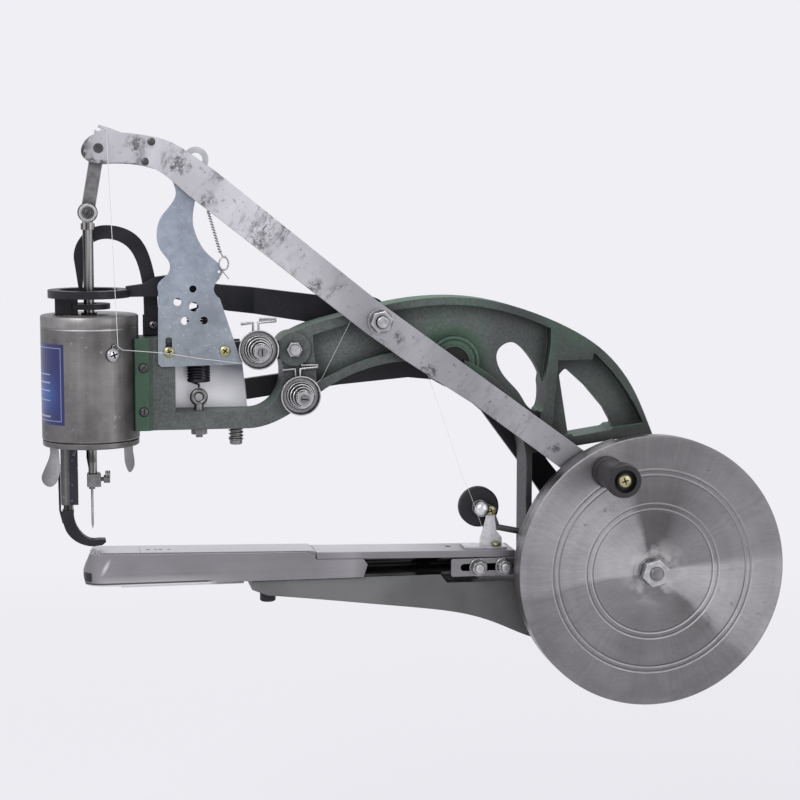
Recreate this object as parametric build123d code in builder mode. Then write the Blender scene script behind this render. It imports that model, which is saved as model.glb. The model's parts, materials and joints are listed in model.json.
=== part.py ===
from build123d import *
import math
import os

os.makedirs("parts", exist_ok=True)

# ---------------------------------------------------------------------------
# Hand-cranked leather patching machine.  Millimetres, +Z up, X along the horn,
# Y away from the operator.  Origin: centre of the underside of the stand foot.
# ---------------------------------------------------------------------------

# fits
RUN = 0.05            # radial running clearance, shaft in hole
GAP = 0.3             # air between faces of different moving bodies

# main centres
SHAFT_Z = 70.0        # main shaft height above the foot
NEEDLE_X = -404.0     # needle axis
PIVOT = (-198.5, 254.5)       # needle lever and fork lever pivot
FEED_PIVOT = (-141.8, 223.0)  # feed lever pivot
TIE_BOSS = (-259.6, 234.5)    # right-hand end of the tie bar

# frame casting
FRAME_HALF = 15.0     # half width of the flanges
WEB_HALF = 4.0        # half thickness of the web
HEAD_HALF = 18.0      # half width of the clamp block
HEAD_LEFT = -380.0
HEAD_RIGHT = -344.5
ARM_BOTTOM = 178.0
ARM_TOP = 190.5
HEAD_TOP = 243.7
THROAT_X = -88.0      # left face of the front column
BRACKET_TOP = 66.5    # top of the horn bracket
BRACKET_LEFT = -291.0
FOOT_LONG = 88.0
FOOT_WIDE = 58.0
FOOT_THICK = 12.0
FOOT_HOLE_R = 4.5
FOOT_HOLE_X = 60.0
FOOT_HOLE_Y = 42.0
HUB_R = 19.0
HUB_HALF = 20.0
SHAFT_R = 8.0
PIVOT_BOSS_HALF = 19.5
FEED_BOSS_R = 19.0
FEED_STUD_R = 7.0
TIE_R = 12.0
TIE_BOSS_FRONT = -17.0
TIE_NUT_R = 5.9
TIE_NUT_T = 4.5
TIE_Z0 = 227.5
TIE_Z1 = 240.5
TIE_FRONT = -15.0
TIE_THICK = 6.0
TIE_BOLT_R = 4.0
EYE_X = -326.8        # eye-bolt and return spring
EYE_SHANK_R = 2.5
EYE_TOP = 206.1
SPRING_R = 8.4
SPRING_Z0 = 211.0
SPRING_HOOK = 4.7     # hooked end of the return spring under the fork lever
ADJUSTER_X = -300.3
ADJUSTER_R = 2.0
HORN_BOLT_X = -278.0
HORN_BOLT_R = 4.0

# control points of the cast curves, (X, Z)
ARCH_TOP = [(-262.4, 245.1), (-249.7, 251.0), (-226.0, 257.5), (-188.0, 266.5), (-145.0, 270.5),
            (-114.5, 267.5), (-83.0, 258.5), (-55.5, 246.5), (-31.4, 231.0), (-8.0, 203.0),
            (6.5, 171.0), (20.0, 138.0), (32.0, 100.0), (39.0, 60.0), (42.0, FOOT_THICK)]
BELLY = [(-FOOT_LONG / 2, FOOT_THICK), (-60.0, 12.6), (-83.0, 17.0), (-108.5, 28.0), (-130.0, 35.5),
         (-159.0, 41.0), (-201.6, 46.3), (-235.6, 50.5), (-280.0, 55.5)]
THROAT = [(THROAT_X, 150.0), (-92.0, 170.0), (-105.0, 193.0), (-127.0, 212.0), (-152.0, 222.0),
          (-177.0, 224.5), (-196.0, 222.3), (-211.5, 218.0), (-226.0, 211.8), (-239.4, 203.9),
          (-257.0, 191.5), (-272.0, 183.0), (-292.0, ARM_BOTTOM)]
WINDOW_CURVE = [(-290.0, ARM_TOP), (-278.0, 194.5), (-270.5, 203.0), (-267.5, 214.0), (-269.9, 230.7)]
POCKET_ARM = [(-246.0, 244.5), (-221.0, 252.0), (-188.0, 260.6), (-145.0, 265.0), (-115.0, 262.0),
              (-86.5, 254.0), (-68.5, 246.0)]
POCKET_ARM_LOW = [(-79.5, 166.5), (-98.5, 197.0), (-122.0, 218.0), (-148.0, 229.0), (-177.0, 231.8),
                  (-196.0, 229.5), (-211.0, 225.0), (-226.0, 219.0), (-243.0, 210.0)]
POCKET_BACK = [(-62.5, 244.0), (-36.0, 227.3), (-12.5, 200.3), (1.0, 175.8)]
POCKET_LOW = [(THROAT_X + 4.5, 155.0), (4.0, 167.0), (18.0, 112.0), (-24.0, 92.0), (THROAT_X + 4.5, 80.0)]
KIDNEY = [(-104.8, 233.1), (-96.5, 236.0), (-84.3, 226.8), (-75.8, 212.5), (-73.4, 197.6),
          (-77.9, 185.0), (-83.0, 187.0), (-90.2, 197.2), (-100.9, 209.3), (-107.6, 221.0)]
WINDOW_TRI = [(-60.9, 211.5), (-56.0, 216.8), (-40.5, 203.0), (-26.3, 186.3), (-19.8, 174.5),
              (-24.0, 170.8), (-53.6, 166.4)]
WINDOW_LOW = [(THROAT_X + 6.0, 154.0), (-10.0, 163.5), (8.0, 112.0), (-22.0, 101.0), (THROAT_X + 6.0, 98.0)]
STRUT_FOOT = (-69.0, 166.5)   # right-hand foot of the strut on the cross rib

# head barrel and swivelling rotor
BARREL_R = 34.5
BARREL_WALL = 3.5
BORE_R = BARREL_R - BARREL_WALL
BARREL_Z0 = 172.0
CAP_Z0 = 247.0
CAP_Z1 = 257.0
RING_Z0 = 167.3
PRESSER_OUT = 17.0    # presser bar's axis to the needle's axis
PRESSER_X = NEEDLE_X - PRESSER_OUT
PRESSER_W = 7.0
GUIDE_X0 = PRESSER_X - 5.0
GUIDE_X1 = PRESSER_X + 7.0
GUIDE_Z0 = 124.5
PRESSER_RISE = 4.0    # most that the presser lifts
PRESSER_TOP = GUIDE_Z0 - PRESSER_RISE - GAP   # top of the wide part of the presser foot

# needle lever, link, needle bar
LEVER_BACK = -20.0
LEVER_T = 6.0
CHEEK_BACK = -4.0     # back face of the bar where it closes on the link
CHEEK_T = 5.0
STUD_R = 6.0
LINK_TOP = (-396.0, 377.5)
LINK_LOW = (NEEDLE_X, 332.4)
LINK_T = 6.0
LINK_W = 9.5
LINK_PIN_R = 3.3
LINK_SCREW_R = 2.4
OPEN_PIVOT = 1.05     # radial play at the link's lower eye, the one open pivot
BAR_R = 3.8
BAR_Z0 = 146.6
CLAMP_Z0 = 136.7
SPIGOT_R = 1.4        # turned spigot on the needle clamp, free to swivel in the bar
SPIGOT_LEN = 7.0
NEEDLE_R = 0.9
NEEDLE_TIP = 105.8
ROLLER = (-28.8, 130.8)
ROLLER_R = 7.5
ROLLER_PIN_R = 3.5

# flywheel
WHEEL_R = 100.0
WHEEL_FACE = -48.0
WHEEL_T = 12.0
RING_T = 7.0
RING_IN_R = WHEEL_R - 8.0
INNER_BOSS_R = 53.0
GROOVES = (45.5, 50.0, 71.7, 75.5)
NUT_R = 10.6
NUT_T = 8.0
GRIP = (-35.8, 144.8)
GRIP_LEN = 48.0
GRIP_BOLT_R = 4.0

# fork, feed and presser work
STRAP_Y0 = 7.4        # the hooped strap passes behind the needle bar's head
STRAP_Y1 = 11.8
BACK_BAR_Y = 20.5     # front face of the two black levers behind the frame
BACK_BAR_T = 6.0
FORK_R = 29.0
FORK_IN_R = 21.0
FORK_UNDER = CAP_Z1 + 9.7     # underside of the fork lever over the return spring
FORK_Z0 = FORK_UNDER + 5.8
FORK_T = 5.5
FORK_LIFT_GAP = 0.6   # air between the fork's ring and the lifting block
FOOT_SOLE = 93.7
CAM_Y = 30.0
CAM_T = 8.0
CAM_R = 24.0
CAM_THROW = 6.0
FOLLOWER = (-32.0, 92.0)
FOLLOWER_R = 7.0

# horn
HORN_HALF = 14.0
HORN_BACK = 15.0
HORN_NOSE = -409.0
HORN_END = -90.0
HORN_TOP = 90.5       # working height at the needle
TOP_FALL = 0.0209     # fall of the top plates per millimetre toward the column
PLATE_T = 5.0
STEP_X = -244.0       # front top plate meets rear top plate
STEP_DROP = 1.0
COVER_T = 2.0
COVER_END = -209.5
WALL = 2.0            # floor and back wall of the hollow body
ROOF = 1.2            # thin roof under the top plates
SHUTTLE = (-393.0, 76.2)
SHUTTLE_R = 6.4
BOBBIN_R = 4.8
ROD_R = 2.2
ROD_Z = 74.4
ROD_Y = 3.0
ROD_GUIDES = (-341.0, -161.0)
PINION_R = 2.3
RACK_TOP = SHUTTLE[1] - PINION_R - 0.4

# tensions
TENSIONS = {"upper": (-285.6, 234.9), "lower": (-255.5, 201.4)}
DISC_R = 13.8
POST_R = 2.5
POST_LEN = 30.0
TENSION_NUT_R = 5.8
TENSION_NUT_T = 6.0
DISC_SPACER_R = 6.0
DISC_SPACER_T = 2.2
HOOK_WIRE_R = 1.0

# winder
SPINDLE = (-120.0, 113.4)
WINDER_PIVOT = (-112.7, 111.8)
WINDER_R = 14.9


def side(y):
    """Drawing plane at depth y: X to the right, Z up.  Extrudes toward the operator."""
    return Plane.XZ.offset(-y)


def horn_top(x):
    """Height of the front top plate above the foot at x."""
    return HORN_TOP - (x - NEEDLE_X) * TOP_FALL


def save(builder, node):
    """Label one node and write its STEP file."""
    builder.part.label = node
    export_step(builder.part, f"parts/{node}.step")


def round_bar(centre, radius, y0, y1, mode=Mode.ADD):
    """Cylinder along Y from depth y0 (front) to y1 (back)."""
    with BuildSketch(side(y1)) as disc:
        with Locations(centre):
            Circle(radius)
    extrude(disc.sketch, amount=y1 - y0, mode=mode)


def slab(points, y0, y1, mode=Mode.ADD):
    """Straight-sided plate in the XZ plane between depths y0 and y1."""
    with BuildSketch(side(y1)) as profile:
        with BuildLine():
            Polyline(*points, close=True)
        make_face()
    extrude(profile.sketch, amount=y1 - y0, mode=mode)


def upright(centre, radius, z0, z1, mode=Mode.ADD):
    """Vertical cylinder at (x, y) from z0 to z1."""
    with BuildSketch(Plane.XY.offset(z0)) as disc:
        with Locations(centre):
            Circle(radius)
    extrude(disc.sketch, amount=z1 - z0, mode=mode)


# --- frame -----------------------------------------------------------------
with BuildPart() as frame_casting:
    with BuildSketch(side(FRAME_HALF)):
        with BuildLine():
            Polyline((-292.0, ARM_BOTTOM), (HEAD_LEFT, ARM_BOTTOM), (HEAD_LEFT, HEAD_TOP),
                     (HEAD_RIGHT, HEAD_TOP), (HEAD_RIGHT, ARM_TOP), WINDOW_CURVE[0])
            Spline(*WINDOW_CURVE)
            ThreePointArc(WINDOW_CURVE[-1], (-269.1, 240.0), ARCH_TOP[0])
            Spline(*ARCH_TOP)
            Polyline(ARCH_TOP[-1], (FOOT_LONG / 2, FOOT_THICK), (FOOT_LONG / 2, 0),
                     (-FOOT_LONG / 2, 0), BELLY[0])
            Spline(*BELLY)
            Polyline(BELLY[-1], (BRACKET_LEFT, 60.0), (BRACKET_LEFT, BRACKET_TOP),
                     (-152.0, BRACKET_TOP), (-147.0, 60.0), (THROAT_X, 60.0), THROAT[0])
            Spline(*THROAT)
        make_face()
    extrude(amount=2 * FRAME_HALF)
    # pockets from both faces leave a web between heavy flanges
    for back in (-WEB_HALF, FRAME_HALF + 1):
        with BuildSketch(side(back)):
            with BuildLine():
                Spline(*POCKET_ARM)
                Line(POCKET_ARM[-1], POCKET_ARM_LOW[0])
                Spline(*POCKET_ARM_LOW)
                Line(POCKET_ARM_LOW[-1], POCKET_ARM[0])
            make_face()
            with BuildLine():
                Spline(*POCKET_BACK)
                Polyline(POCKET_BACK[-1], STRUT_FOOT, POCKET_BACK[0])
            make_face()
            with BuildLine():
                Polyline(*POCKET_LOW, close=True)
            make_face()
        extrude(amount=FRAME_HALF + 1 - WEB_HALF, mode=Mode.SUBTRACT)
    # stepped lug under the arch flange
    slab([(-70.0, 223.2), (-38.5, 223.2), (-36.0, 231.5), (-60.0, 247.0), (-70.0, 248.0)],
         -FRAME_HALF, FRAME_HALF)
    round_bar(PIVOT, 10.0, -PIVOT_BOSS_HALF, PIVOT_BOSS_HALF)
    round_bar(FEED_PIVOT, FEED_BOSS_R, -12.0, FRAME_HALF + 4.5)
    round_bar(TIE_BOSS, TIE_R, TIE_BOSS_FRONT, FRAME_HALF)
    round_bar((0, SHAFT_Z), HUB_R, -HUB_HALF, HUB_HALF)
    # foot pad
    with BuildSketch(Plane.XY):
        RectangleRounded(FOOT_LONG, FOOT_WIDE, 6.0)
    extrude(amount=FOOT_THICK)
    # clamp block round the barrel
    with BuildSketch(Plane.XY.offset(ARM_BOTTOM)):
        with BuildLine():
            Polyline((HEAD_RIGHT, -HEAD_HALF + 3), (-360.0, -HEAD_HALF + 3), (-364.0, -HEAD_HALF),
                     (-373.0, -HEAD_HALF), (HEAD_LEFT, -11.0), (HEAD_LEFT, 11.0), (-373.0, HEAD_HALF),
                     (-364.0, HEAD_HALF), (-360.0, HEAD_HALF - 3), (HEAD_RIGHT, HEAD_HALF - 3),
                     close=True)
        make_face()
    extrude(amount=HEAD_TOP - ARM_BOTTOM)
    # lug that carries the presser strap
    with BuildSketch(Plane.XY.offset(HEAD_TOP)):
        with Locations((-359.0, (STRAP_Y1 + FRAME_HALF) / 2)):
            Rectangle(13.0, FRAME_HALF - STRAP_Y1)
    extrude(amount=15.0)
    # through openings
    with BuildSketch(side(FRAME_HALF)):
        with BuildLine():
            Spline(*KIDNEY, periodic=True)
        make_face()
    extrude(amount=2 * FRAME_HALF, mode=Mode.SUBTRACT)
    for window in (WINDOW_TRI, WINDOW_LOW):
        with BuildSketch(side(FRAME_HALF)) as hole:
            with BuildLine():
                Polyline(*window, close=True)
            make_face()
            fillet(hole.vertices(), radius=3.0)
        extrude(amount=2 * FRAME_HALF, mode=Mode.SUBTRACT)
    # bored and drilled seats
    upright((NEEDLE_X, 0), BARREL_R, ARM_BOTTOM - 1, HEAD_TOP + 20, Mode.SUBTRACT)
    round_bar(PIVOT, STUD_R, -30, 30, Mode.SUBTRACT)
    round_bar(FEED_PIVOT, FEED_STUD_R, -30, 30, Mode.SUBTRACT)
    round_bar(TIE_BOSS, TIE_BOLT_R, -30, 30, Mode.SUBTRACT)
    round_bar((0, SHAFT_Z), SHAFT_R + RUN, -30, 30, Mode.SUBTRACT)
    round_bar(TENSIONS["lower"], POST_R, -30, -FRAME_HALF + 4.0, Mode.SUBTRACT)
    slab([(-352.0, TIE_Z0), (-253.0, TIE_Z0), (-253.0, TIE_Z1), (-352.0, TIE_Z1)],
         TIE_FRONT, TIE_FRONT + TIE_THICK, Mode.SUBTRACT)
    upright((EYE_X, 0), EYE_SHANK_R, ARM_BOTTOM - 1, ARM_TOP + 1, Mode.SUBTRACT)
    upright((ADJUSTER_X, 0), ADJUSTER_R, ARM_BOTTOM - 1, ARM_TOP - 4, Mode.SUBTRACT)
    upright((HORN_BOLT_X, 0), HORN_BOLT_R, 50.0, BRACKET_TOP + 1, Mode.SUBTRACT)
    with BuildSketch(Plane.XY):
        with GridLocations(FOOT_HOLE_X, FOOT_HOLE_Y, 2, 2):
            Circle(FOOT_HOLE_R)
    extrude(amount=FOOT_THICK, mode=Mode.SUBTRACT)
save(frame_casting, "frame_casting")

# --- bars and plates bolted to the frame -------------------------------------
with BuildPart() as tie_bar:
    slab([(-352.0, TIE_Z0), (-253.0, TIE_Z0), (-253.0, TIE_Z1), (-352.0, TIE_Z1)],
         TIE_FRONT, TIE_FRONT + TIE_THICK)
    round_bar(TIE_BOSS, TIE_BOLT_R, -30, 0, Mode.SUBTRACT)
    round_bar(TENSIONS["upper"], POST_R, -30, 0, Mode.SUBTRACT)
save(tie_bar, "tie_bar")

with BuildPart() as tie_bolt:
    round_bar(TIE_BOSS, TIE_BOLT_R, TIE_BOSS_FRONT - TIE_NUT_T, FRAME_HALF + 4)
    with BuildSketch(side(TIE_BOSS_FRONT)):
        with Locations(TIE_BOSS):
            RegularPolygon(radius=TIE_NUT_R, side_count=6)
    extrude(amount=TIE_NUT_T)
    chamfer(faces().sort_by(Axis.Y)[0].edges(), length=0.6)
    round_bar(TIE_BOSS, TIE_BOLT_R - 0.6, TIE_BOSS_FRONT - TIE_NUT_T - 2.0, TIE_BOSS_FRONT)
save(tie_bolt, "tie_bolt")

# galvanised plate with the take-up hook at its top
PLATE_FRONT = -16.6
PLATE_THICK = 1.6
PLATE_LEFT = [(-356.0, 277.0), (-354.8, 284.0), (-349.3, 289.0), (-347.5, 295.6), (-353.6, 305.5),
              (-356.5, 318.0), (-353.5, 329.0), (-346.5, 338.0), (-342.8, 345.5), (-344.0, 352.0),
              (-345.5, 356.0)]
PLATE_RIGHT = [(-327.9, 347.0), (-329.8, 338.0), (-331.0, 327.0), (-327.8, 314.0), (-320.0, 302.5),
               (-312.9, 296.0), (-310.4, 290.5), (-314.5, 283.5), (-312.5, 271.5)]
HOOK_CENTRE = (-328.5, 369.5)
HOOK_R = 9.0
HOOK_BAND = 4.2
with BuildPart() as thread_guide_plate:
    with BuildSketch(side(PLATE_FRONT + PLATE_THICK)) as sheet:
        with BuildLine():
            Polyline((-297.0, 224.5), (-354.5, 223.4), (-356.8, 226.0), PLATE_LEFT[0])
            Spline(*PLATE_LEFT)
            Polyline(PLATE_LEFT[-1], (-339.5, 367.0), (-336.0, 372.0), (-331.0, 363.0), PLATE_RIGHT[0])
            Spline(*PLATE_RIGHT)
            Line(PLATE_RIGHT[-1], (-297.0, 224.5))
        make_face()
        # open hook: most of a ring, left open toward the lower right
        with Locations(HOOK_CENTRE):
            Circle(HOOK_R)
            Circle(HOOK_R - HOOK_BAND, mode=Mode.SUBTRACT)
        with BuildLine():
            Polyline(HOOK_CENTRE, (-322.0, 355.0), (-314.0, 362.0), close=True)
        make_face(mode=Mode.SUBTRACT)
        for centre, radius in (((-331.5, 278.5), 2.6), ((-342.5, 269.4), 2.8), ((-330.9, 265.8), 3.4),
                               ((-337.4, 255.9), 2.8), ((-323.9, 256.1), 2.8), ((-309.2, 234.1), 2.2),
                               ((-312.9, 290.5), 0.9)):
            with Locations(centre):
                Circle(radius, mode=Mode.SUBTRACT)
        with Locations((-349.0, 238.5)):
            SlotCenterToCenter(8.0, 4.6, rotation=90, mode=Mode.SUBTRACT)
    extrude(amount=PLATE_THICK)
save(thread_guide_plate, "thread_guide_plate")

with BuildPart() as rear_guard_plate:
    slab([(-356.0, 186.0), (-290.0, 186.0), (-295.5, 240.0), (-356.0, 240.0)],
         FRAME_HALF, FRAME_HALF + PLATE_THICK)
    for z in (230.0, 196.0):
        round_bar((-350.0, z), 2.2, FRAME_HALF - 1, FRAME_HALF + PLATE_THICK + 1, Mode.SUBTRACT)
save(rear_guard_plate, "rear_guard_plate")

with BuildPart() as eye_bolt:
    upright((EYE_X, 0), EYE_SHANK_R, 170.6, ARM_TOP + 3)
    with BuildSketch(Plane.XY.offset(ARM_BOTTOM - 5.2)):
        with Locations((EYE_X, 0)):
            RegularPolygon(radius=5.8, side_count=6)
    extrude(amount=5.2)
    with Locations(Location((EYE_X, 0, EYE_TOP - 6.5), (90, 0, 0))):
        Torus(4.6, 1.9)
    with BuildSketch(Plane.XY.offset(ARM_TOP)):
        with Locations((EYE_X, 0)):
            Circle(3.8)
    extrude(amount=4.5, taper=8)
save(eye_bolt, "eye_bolt")

with BuildPart() as return_spring:
    spring_top = FORK_UNDER - SPRING_HOOK
    upright((EYE_X, 0), SPRING_R, SPRING_Z0, spring_top)
    upright((EYE_X, 0), SPRING_R - 2.2, SPRING_Z0 + 1.2, spring_top - 1.2, Mode.SUBTRACT)
    upright((EYE_X, 0), 1.1, EYE_TOP + GAP, SPRING_Z0 + 1.0)
    upright((EYE_X, 0), 1.1, spring_top - 1.0, FORK_UNDER - GAP)
save(return_spring, "return_spring")

with BuildPart() as adjusting_screw:
    upright((ADJUSTER_X, 0), ADJUSTER_R, 166.0, ARM_TOP - 4)
    upright((ADJUSTER_X, 0), 4.6, 164.8, 168.0)
    upright((ADJUSTER_X, 0), 4.2, 169.0, ARM_BOTTOM)
    fillet(faces().sort_by(Axis.Z)[0].edges(), radius=1.2)
save(adjusting_screw, "adjusting_screw")

# black hooped strap holding the presser down
with BuildPart() as presser_strap:
    with BuildSketch(side(STRAP_Y1)):
        with BuildLine():
            Line((-410.2, 273.0), (-413.6, 297.0))
            Spline((-413.6, 297.0), (-411.0, 311.5), (-402.0, 320.5), (-386.0, 322.8), (-369.0, 315.5),
                   (-359.5, 298.0), (-355.3, 276.0))
            Polyline((-355.3, 276.0), (-354.0, 244.2), (-364.5, 244.2), (-365.0, 276.0))
            Spline((-365.0, 276.0), (-368.5, 294.0), (-376.5, 308.0), (-388.0, 313.2), (-399.0, 311.5),
                   (-405.5, 305.0), (-406.6, 296.0))
            Polyline((-406.6, 296.0), (-408.6, 273.0), (-410.2, 273.0))
        make_face()
    extrude(amount=STRAP_Y1 - STRAP_Y0)
save(presser_strap, "presser_strap")

# --- barrel -------------------------------------------------------------------
with BuildPart() as head_barrel:
    upright((NEEDLE_X, 0), BARREL_R, BARREL_Z0, CAP_Z0 - GAP)
    upright((NEEDLE_X, 0), BORE_R, BARREL_Z0 - 1, CAP_Z0 + 1, Mode.SUBTRACT)
    chamfer(edges().filter_by(GeomType.CIRCLE).sort_by(Axis.Z)[:2], length=0.5)
save(head_barrel, "head_barrel")

with BuildPart() as rotor_sleeve:
    upright((NEEDLE_X, 0), BORE_R - RUN, RING_Z0 + 4.0, CAP_Z0 + 1)
    upright((NEEDLE_X, 0), BARREL_R, CAP_Z0, CAP_Z1)
    fillet(edges().filter_by(GeomType.CIRCLE).sort_by(Axis.Z)[-1], radius=1.5)
    upright((NEEDLE_X, 0), 6.0, CAP_Z1 - 1, CAP_Z1 + 3.5)
    upright((NEEDLE_X, 0), 24.0, RING_Z0, CAP_Z0 - 14, Mode.SUBTRACT)
    upright((NEEDLE_X, 0), BAR_R + RUN, RING_Z0, CAP_Z1 + 20, Mode.SUBTRACT)
    with BuildSketch(Plane.XY.offset(RING_Z0)):
        with Locations((PRESSER_X, 0)):
            Rectangle(PRESSER_W + 2 * GAP, PRESSER_W + 2 * GAP)
    extrude(amount=120, mode=Mode.SUBTRACT)
save(rotor_sleeve, "rotor_sleeve")

EAR_LEFT = [(-427.0, 162.0), (-426.6, 152.0), (-427.3, 145.8), (-429.6, 140.6), (-433.3, 138.2),
            (-437.2, 139.6), (-439.6, 144.1), (-438.4, 148.8), (-435.4, 155.5), (-433.4, 162.0)]
EAR_RIGHT = [(-380.9, 163.5), (-380.6, 156.3), (-379.3, 149.6), (-377.0, 146.4), (-374.7, 148.6),
             (-373.6, 154.8), (-374.6, 163.5)]
EAR_T = 3.2
with BuildPart() as rotor_ring:
    upright((NEEDLE_X, 0), BARREL_R - 0.3, RING_Z0, RING_Z0 + 4.0)
    fillet(edges().filter_by(GeomType.CIRCLE).sort_by(Axis.Z)[0], radius=1.2)
    upright((NEEDLE_X, 0), BAR_R + 1.0, RING_Z0 - 1, RING_Z0 + 6, Mode.SUBTRACT)
    with BuildSketch(Plane.XY.offset(RING_Z0 - 1)):
        with Locations((PRESSER_X, 0)):
            Rectangle(PRESSER_W + 2 * GAP, PRESSER_W + 2 * GAP)
    extrude(amount=8, mode=Mode.SUBTRACT)
    # two finger ears for turning the head
    for outline, front in ((EAR_LEFT, -7.4), (EAR_RIGHT, -EAR_T / 2)):
        with BuildSketch(side(front + EAR_T)):
            with BuildLine():
                Spline(*outline)
                Polyline(outline[-1], (outline[-1][0], RING_Z0 + 1), (outline[0][0] - 0.6, RING_Z0 + 1),
                         outline[0])
            make_face()
        extrude(amount=EAR_T)
save(rotor_ring, "rotor_ring")

with BuildPart() as presser_guide:
    with BuildSketch(Plane.XY.offset(GUIDE_Z0)):
        with Locations(((GUIDE_X0 + GUIDE_X1) / 2, 0)):
            Rectangle(GUIDE_X1 - GUIDE_X0, 13.0)
        with Locations((PRESSER_X, 0)):
            Rectangle(PRESSER_W + 2 * GAP, PRESSER_W + 2 * GAP, mode=Mode.SUBTRACT)
    extrude(amount=RING_Z0 - GUIDE_Z0)
save(presser_guide, "presser_guide")

# --- presser -------------------------------------------------------------------
COLLAR_R = 15.0
COLLAR_T = 3.7
COLLAR_Z1 = FORK_Z0 - 4.5     # top of the thin flange
BLOCK_Z0 = FORK_Z0 - 11.5     # underside of the square lifting block
BLOCK_W = 16.0
PRESSER_BAR_TOP = FORK_Z0 - 2.5
with BuildPart() as feed_collar:
    upright((NEEDLE_X, 0), COLLAR_R, COLLAR_Z1 - COLLAR_T, COLLAR_Z1)
    with BuildSketch(Plane.XY.offset(BLOCK_Z0)):
        with Locations((PRESSER_X + 1.0, 0)):
            Rectangle(BLOCK_W, COLLAR_R)
    extrude(amount=FORK_Z0 - FORK_LIFT_GAP - BLOCK_Z0)
    upright((NEEDLE_X, 0), BAR_R + 2.0, BLOCK_Z0 - 1, FORK_Z0, Mode.SUBTRACT)
    upright((NEEDLE_X, 0), 9.0, COLLAR_Z1, FORK_Z0, Mode.SUBTRACT)
    with BuildSketch(Plane.XY.offset(BLOCK_Z0 - 1)):
        with Locations((PRESSER_X, 0)):
            Rectangle(PRESSER_W, PRESSER_W)
    extrude(amount=PRESSER_BAR_TOP - BLOCK_Z0 + 1, mode=Mode.SUBTRACT)
save(feed_collar, "feed_collar")

with BuildPart() as presser_bar:
    with BuildSketch(Plane.XY.offset(PRESSER_TOP)):
        with Locations((PRESSER_X, 0)):
            Rectangle(PRESSER_W, PRESSER_W)
    extrude(amount=PRESSER_BAR_TOP - PRESSER_TOP)
save(presser_bar, "presser_bar")

FOOT_LEFT = PRESSER_X - 4.2
FOOT_RIGHT = PRESSER_X + 3.8
FOOT_OUTER = [(FOOT_LEFT, PRESSER_TOP), (FOOT_LEFT + 0.2, 111.5), (FOOT_LEFT + 3.2, 103.6),
              (NEEDLE_X - 12.6, 98.0), (NEEDLE_X - 6.4, 94.9), (NEEDLE_X + 0.5, FOOT_SOLE)]
FOOT_INNER = [(NEEDLE_X + 4.0, 98.6), (NEEDLE_X - 4.2, 100.0), (NEEDLE_X - 9.1, 104.8),
              (FOOT_RIGHT + 0.6, 112.2), (FOOT_RIGHT, PRESSER_TOP)]
SHANK_X = GUIDE_X0 - GAP      # inner face of the thin shank beside the guide
SHANK_T = 1.8
with BuildPart() as presser_foot:
    with BuildSketch(side(4.5)):
        with BuildLine():
            Polyline(FOOT_INNER[-1], FOOT_OUTER[0])
            Spline(*FOOT_OUTER)
            Polyline(FOOT_OUTER[-1], (NEEDLE_X + 6.5, 94.4), (NEEDLE_X + 9.2, 96.6),
                     (NEEDLE_X + 9.0, 98.4), FOOT_INNER[0])
            Spline(*FOOT_INNER)
        make_face()
    extrude(amount=9.0)
    # thin shank up the outside of the guide
    slab([(SHANK_X - SHANK_T, 153.0), (SHANK_X, 153.0), (SHANK_X, PRESSER_TOP - 1.0),
          (SHANK_X + 3.0, PRESSER_TOP - 4.0), (SHANK_X + 1.0, PRESSER_TOP - 10.0),
          (SHANK_X - SHANK_T + 0.4, PRESSER_TOP)], -3.5, 3.5)
    upright((NEEDLE_X, 0), 2.2, 88.0, 110.0, Mode.SUBTRACT)
save(presser_foot, "presser_foot")

# --- needle lever ----------------------------------------------------------------
LEVER_TOP_EDGE = [(-397.0, 388.5), (-378.7, 388.3), (-362.2, 386.3), (-351.1, 383.5), (-337.3, 376.6),
                  (-314.5, 360.7)]
LEVER_LOW_EDGE = [(-328.7, 340.2), (-346.6, 355.5), (-355.0, 361.8), (-366.0, 366.0), (-378.0, 367.3),
                  (-395.0, 367.0)]
with BuildPart() as needle_lever_bar:
    with BuildSketch(side(0)):
        with BuildLine():
            Spline(*LEVER_TOP_EDGE)
            Polyline(LEVER_TOP_EDGE[-1], (-201.0, 269.6), (-174.8, 250.4), (-47.9, 157.9), (-22.2, 138.8))
            ThreePointArc((-22.2, 138.8), (-20.6, 125.2), (-35.4, 122.8))
            Polyline((-35.4, 122.8), (-67.4, 147.2), (-127.5, 191.8), (-182.1, 227.1), (-209.0, 246.3),
                     LEVER_LOW_EDGE[0])
            Spline(*LEVER_LOW_EDGE)
            Spline((-395.0, 367.0), (-403.0, 368.5), (-406.3, 372.0), (-405.2, 378.5), (-402.0, 384.5),
                   (-397.0, 388.5))
        make_face()
    extrude(amount=30.0)
    # the bar is set over toward the needle plane at its head
    with BuildSketch(Plane.XY.offset(100.0)):
        with BuildLine():
            Polyline((-420.0, CHEEK_BACK), (-362.0, CHEEK_BACK), (-349.0, LEVER_BACK), (0, LEVER_BACK),
                     (0, LEVER_BACK - LEVER_T), (-351.4, LEVER_BACK - LEVER_T),
                     (-364.4, CHEEK_BACK - LEVER_T), (-420.0, CHEEK_BACK - LEVER_T), close=True)
        make_face()
    extrude(amount=320.0, mode=Mode.INTERSECT)
    round_bar(PIVOT, STUD_R + RUN, -30, 0, Mode.SUBTRACT)
    round_bar(LINK_TOP, LINK_PIN_R, -30, 0, Mode.SUBTRACT)
    round_bar(ROLLER, ROLLER_PIN_R, -30, 0, Mode.SUBTRACT)
    # small thread hook standing on the head
    slab([(-399.0, 386.0), (-390.0, 387.0), (-379.0, 388.0), (-387.0, 391.2), (-395.6, 393.8),
          (-396.2, 392.0), (-393.2, 390.6), (-396.0, 389.2), (-398.4, 390.4)],
         CHEEK_BACK - LEVER_T, CHEEK_BACK - LEVER_T + 2.2)
save(needle_lever_bar, "needle_lever_bar")

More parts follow.
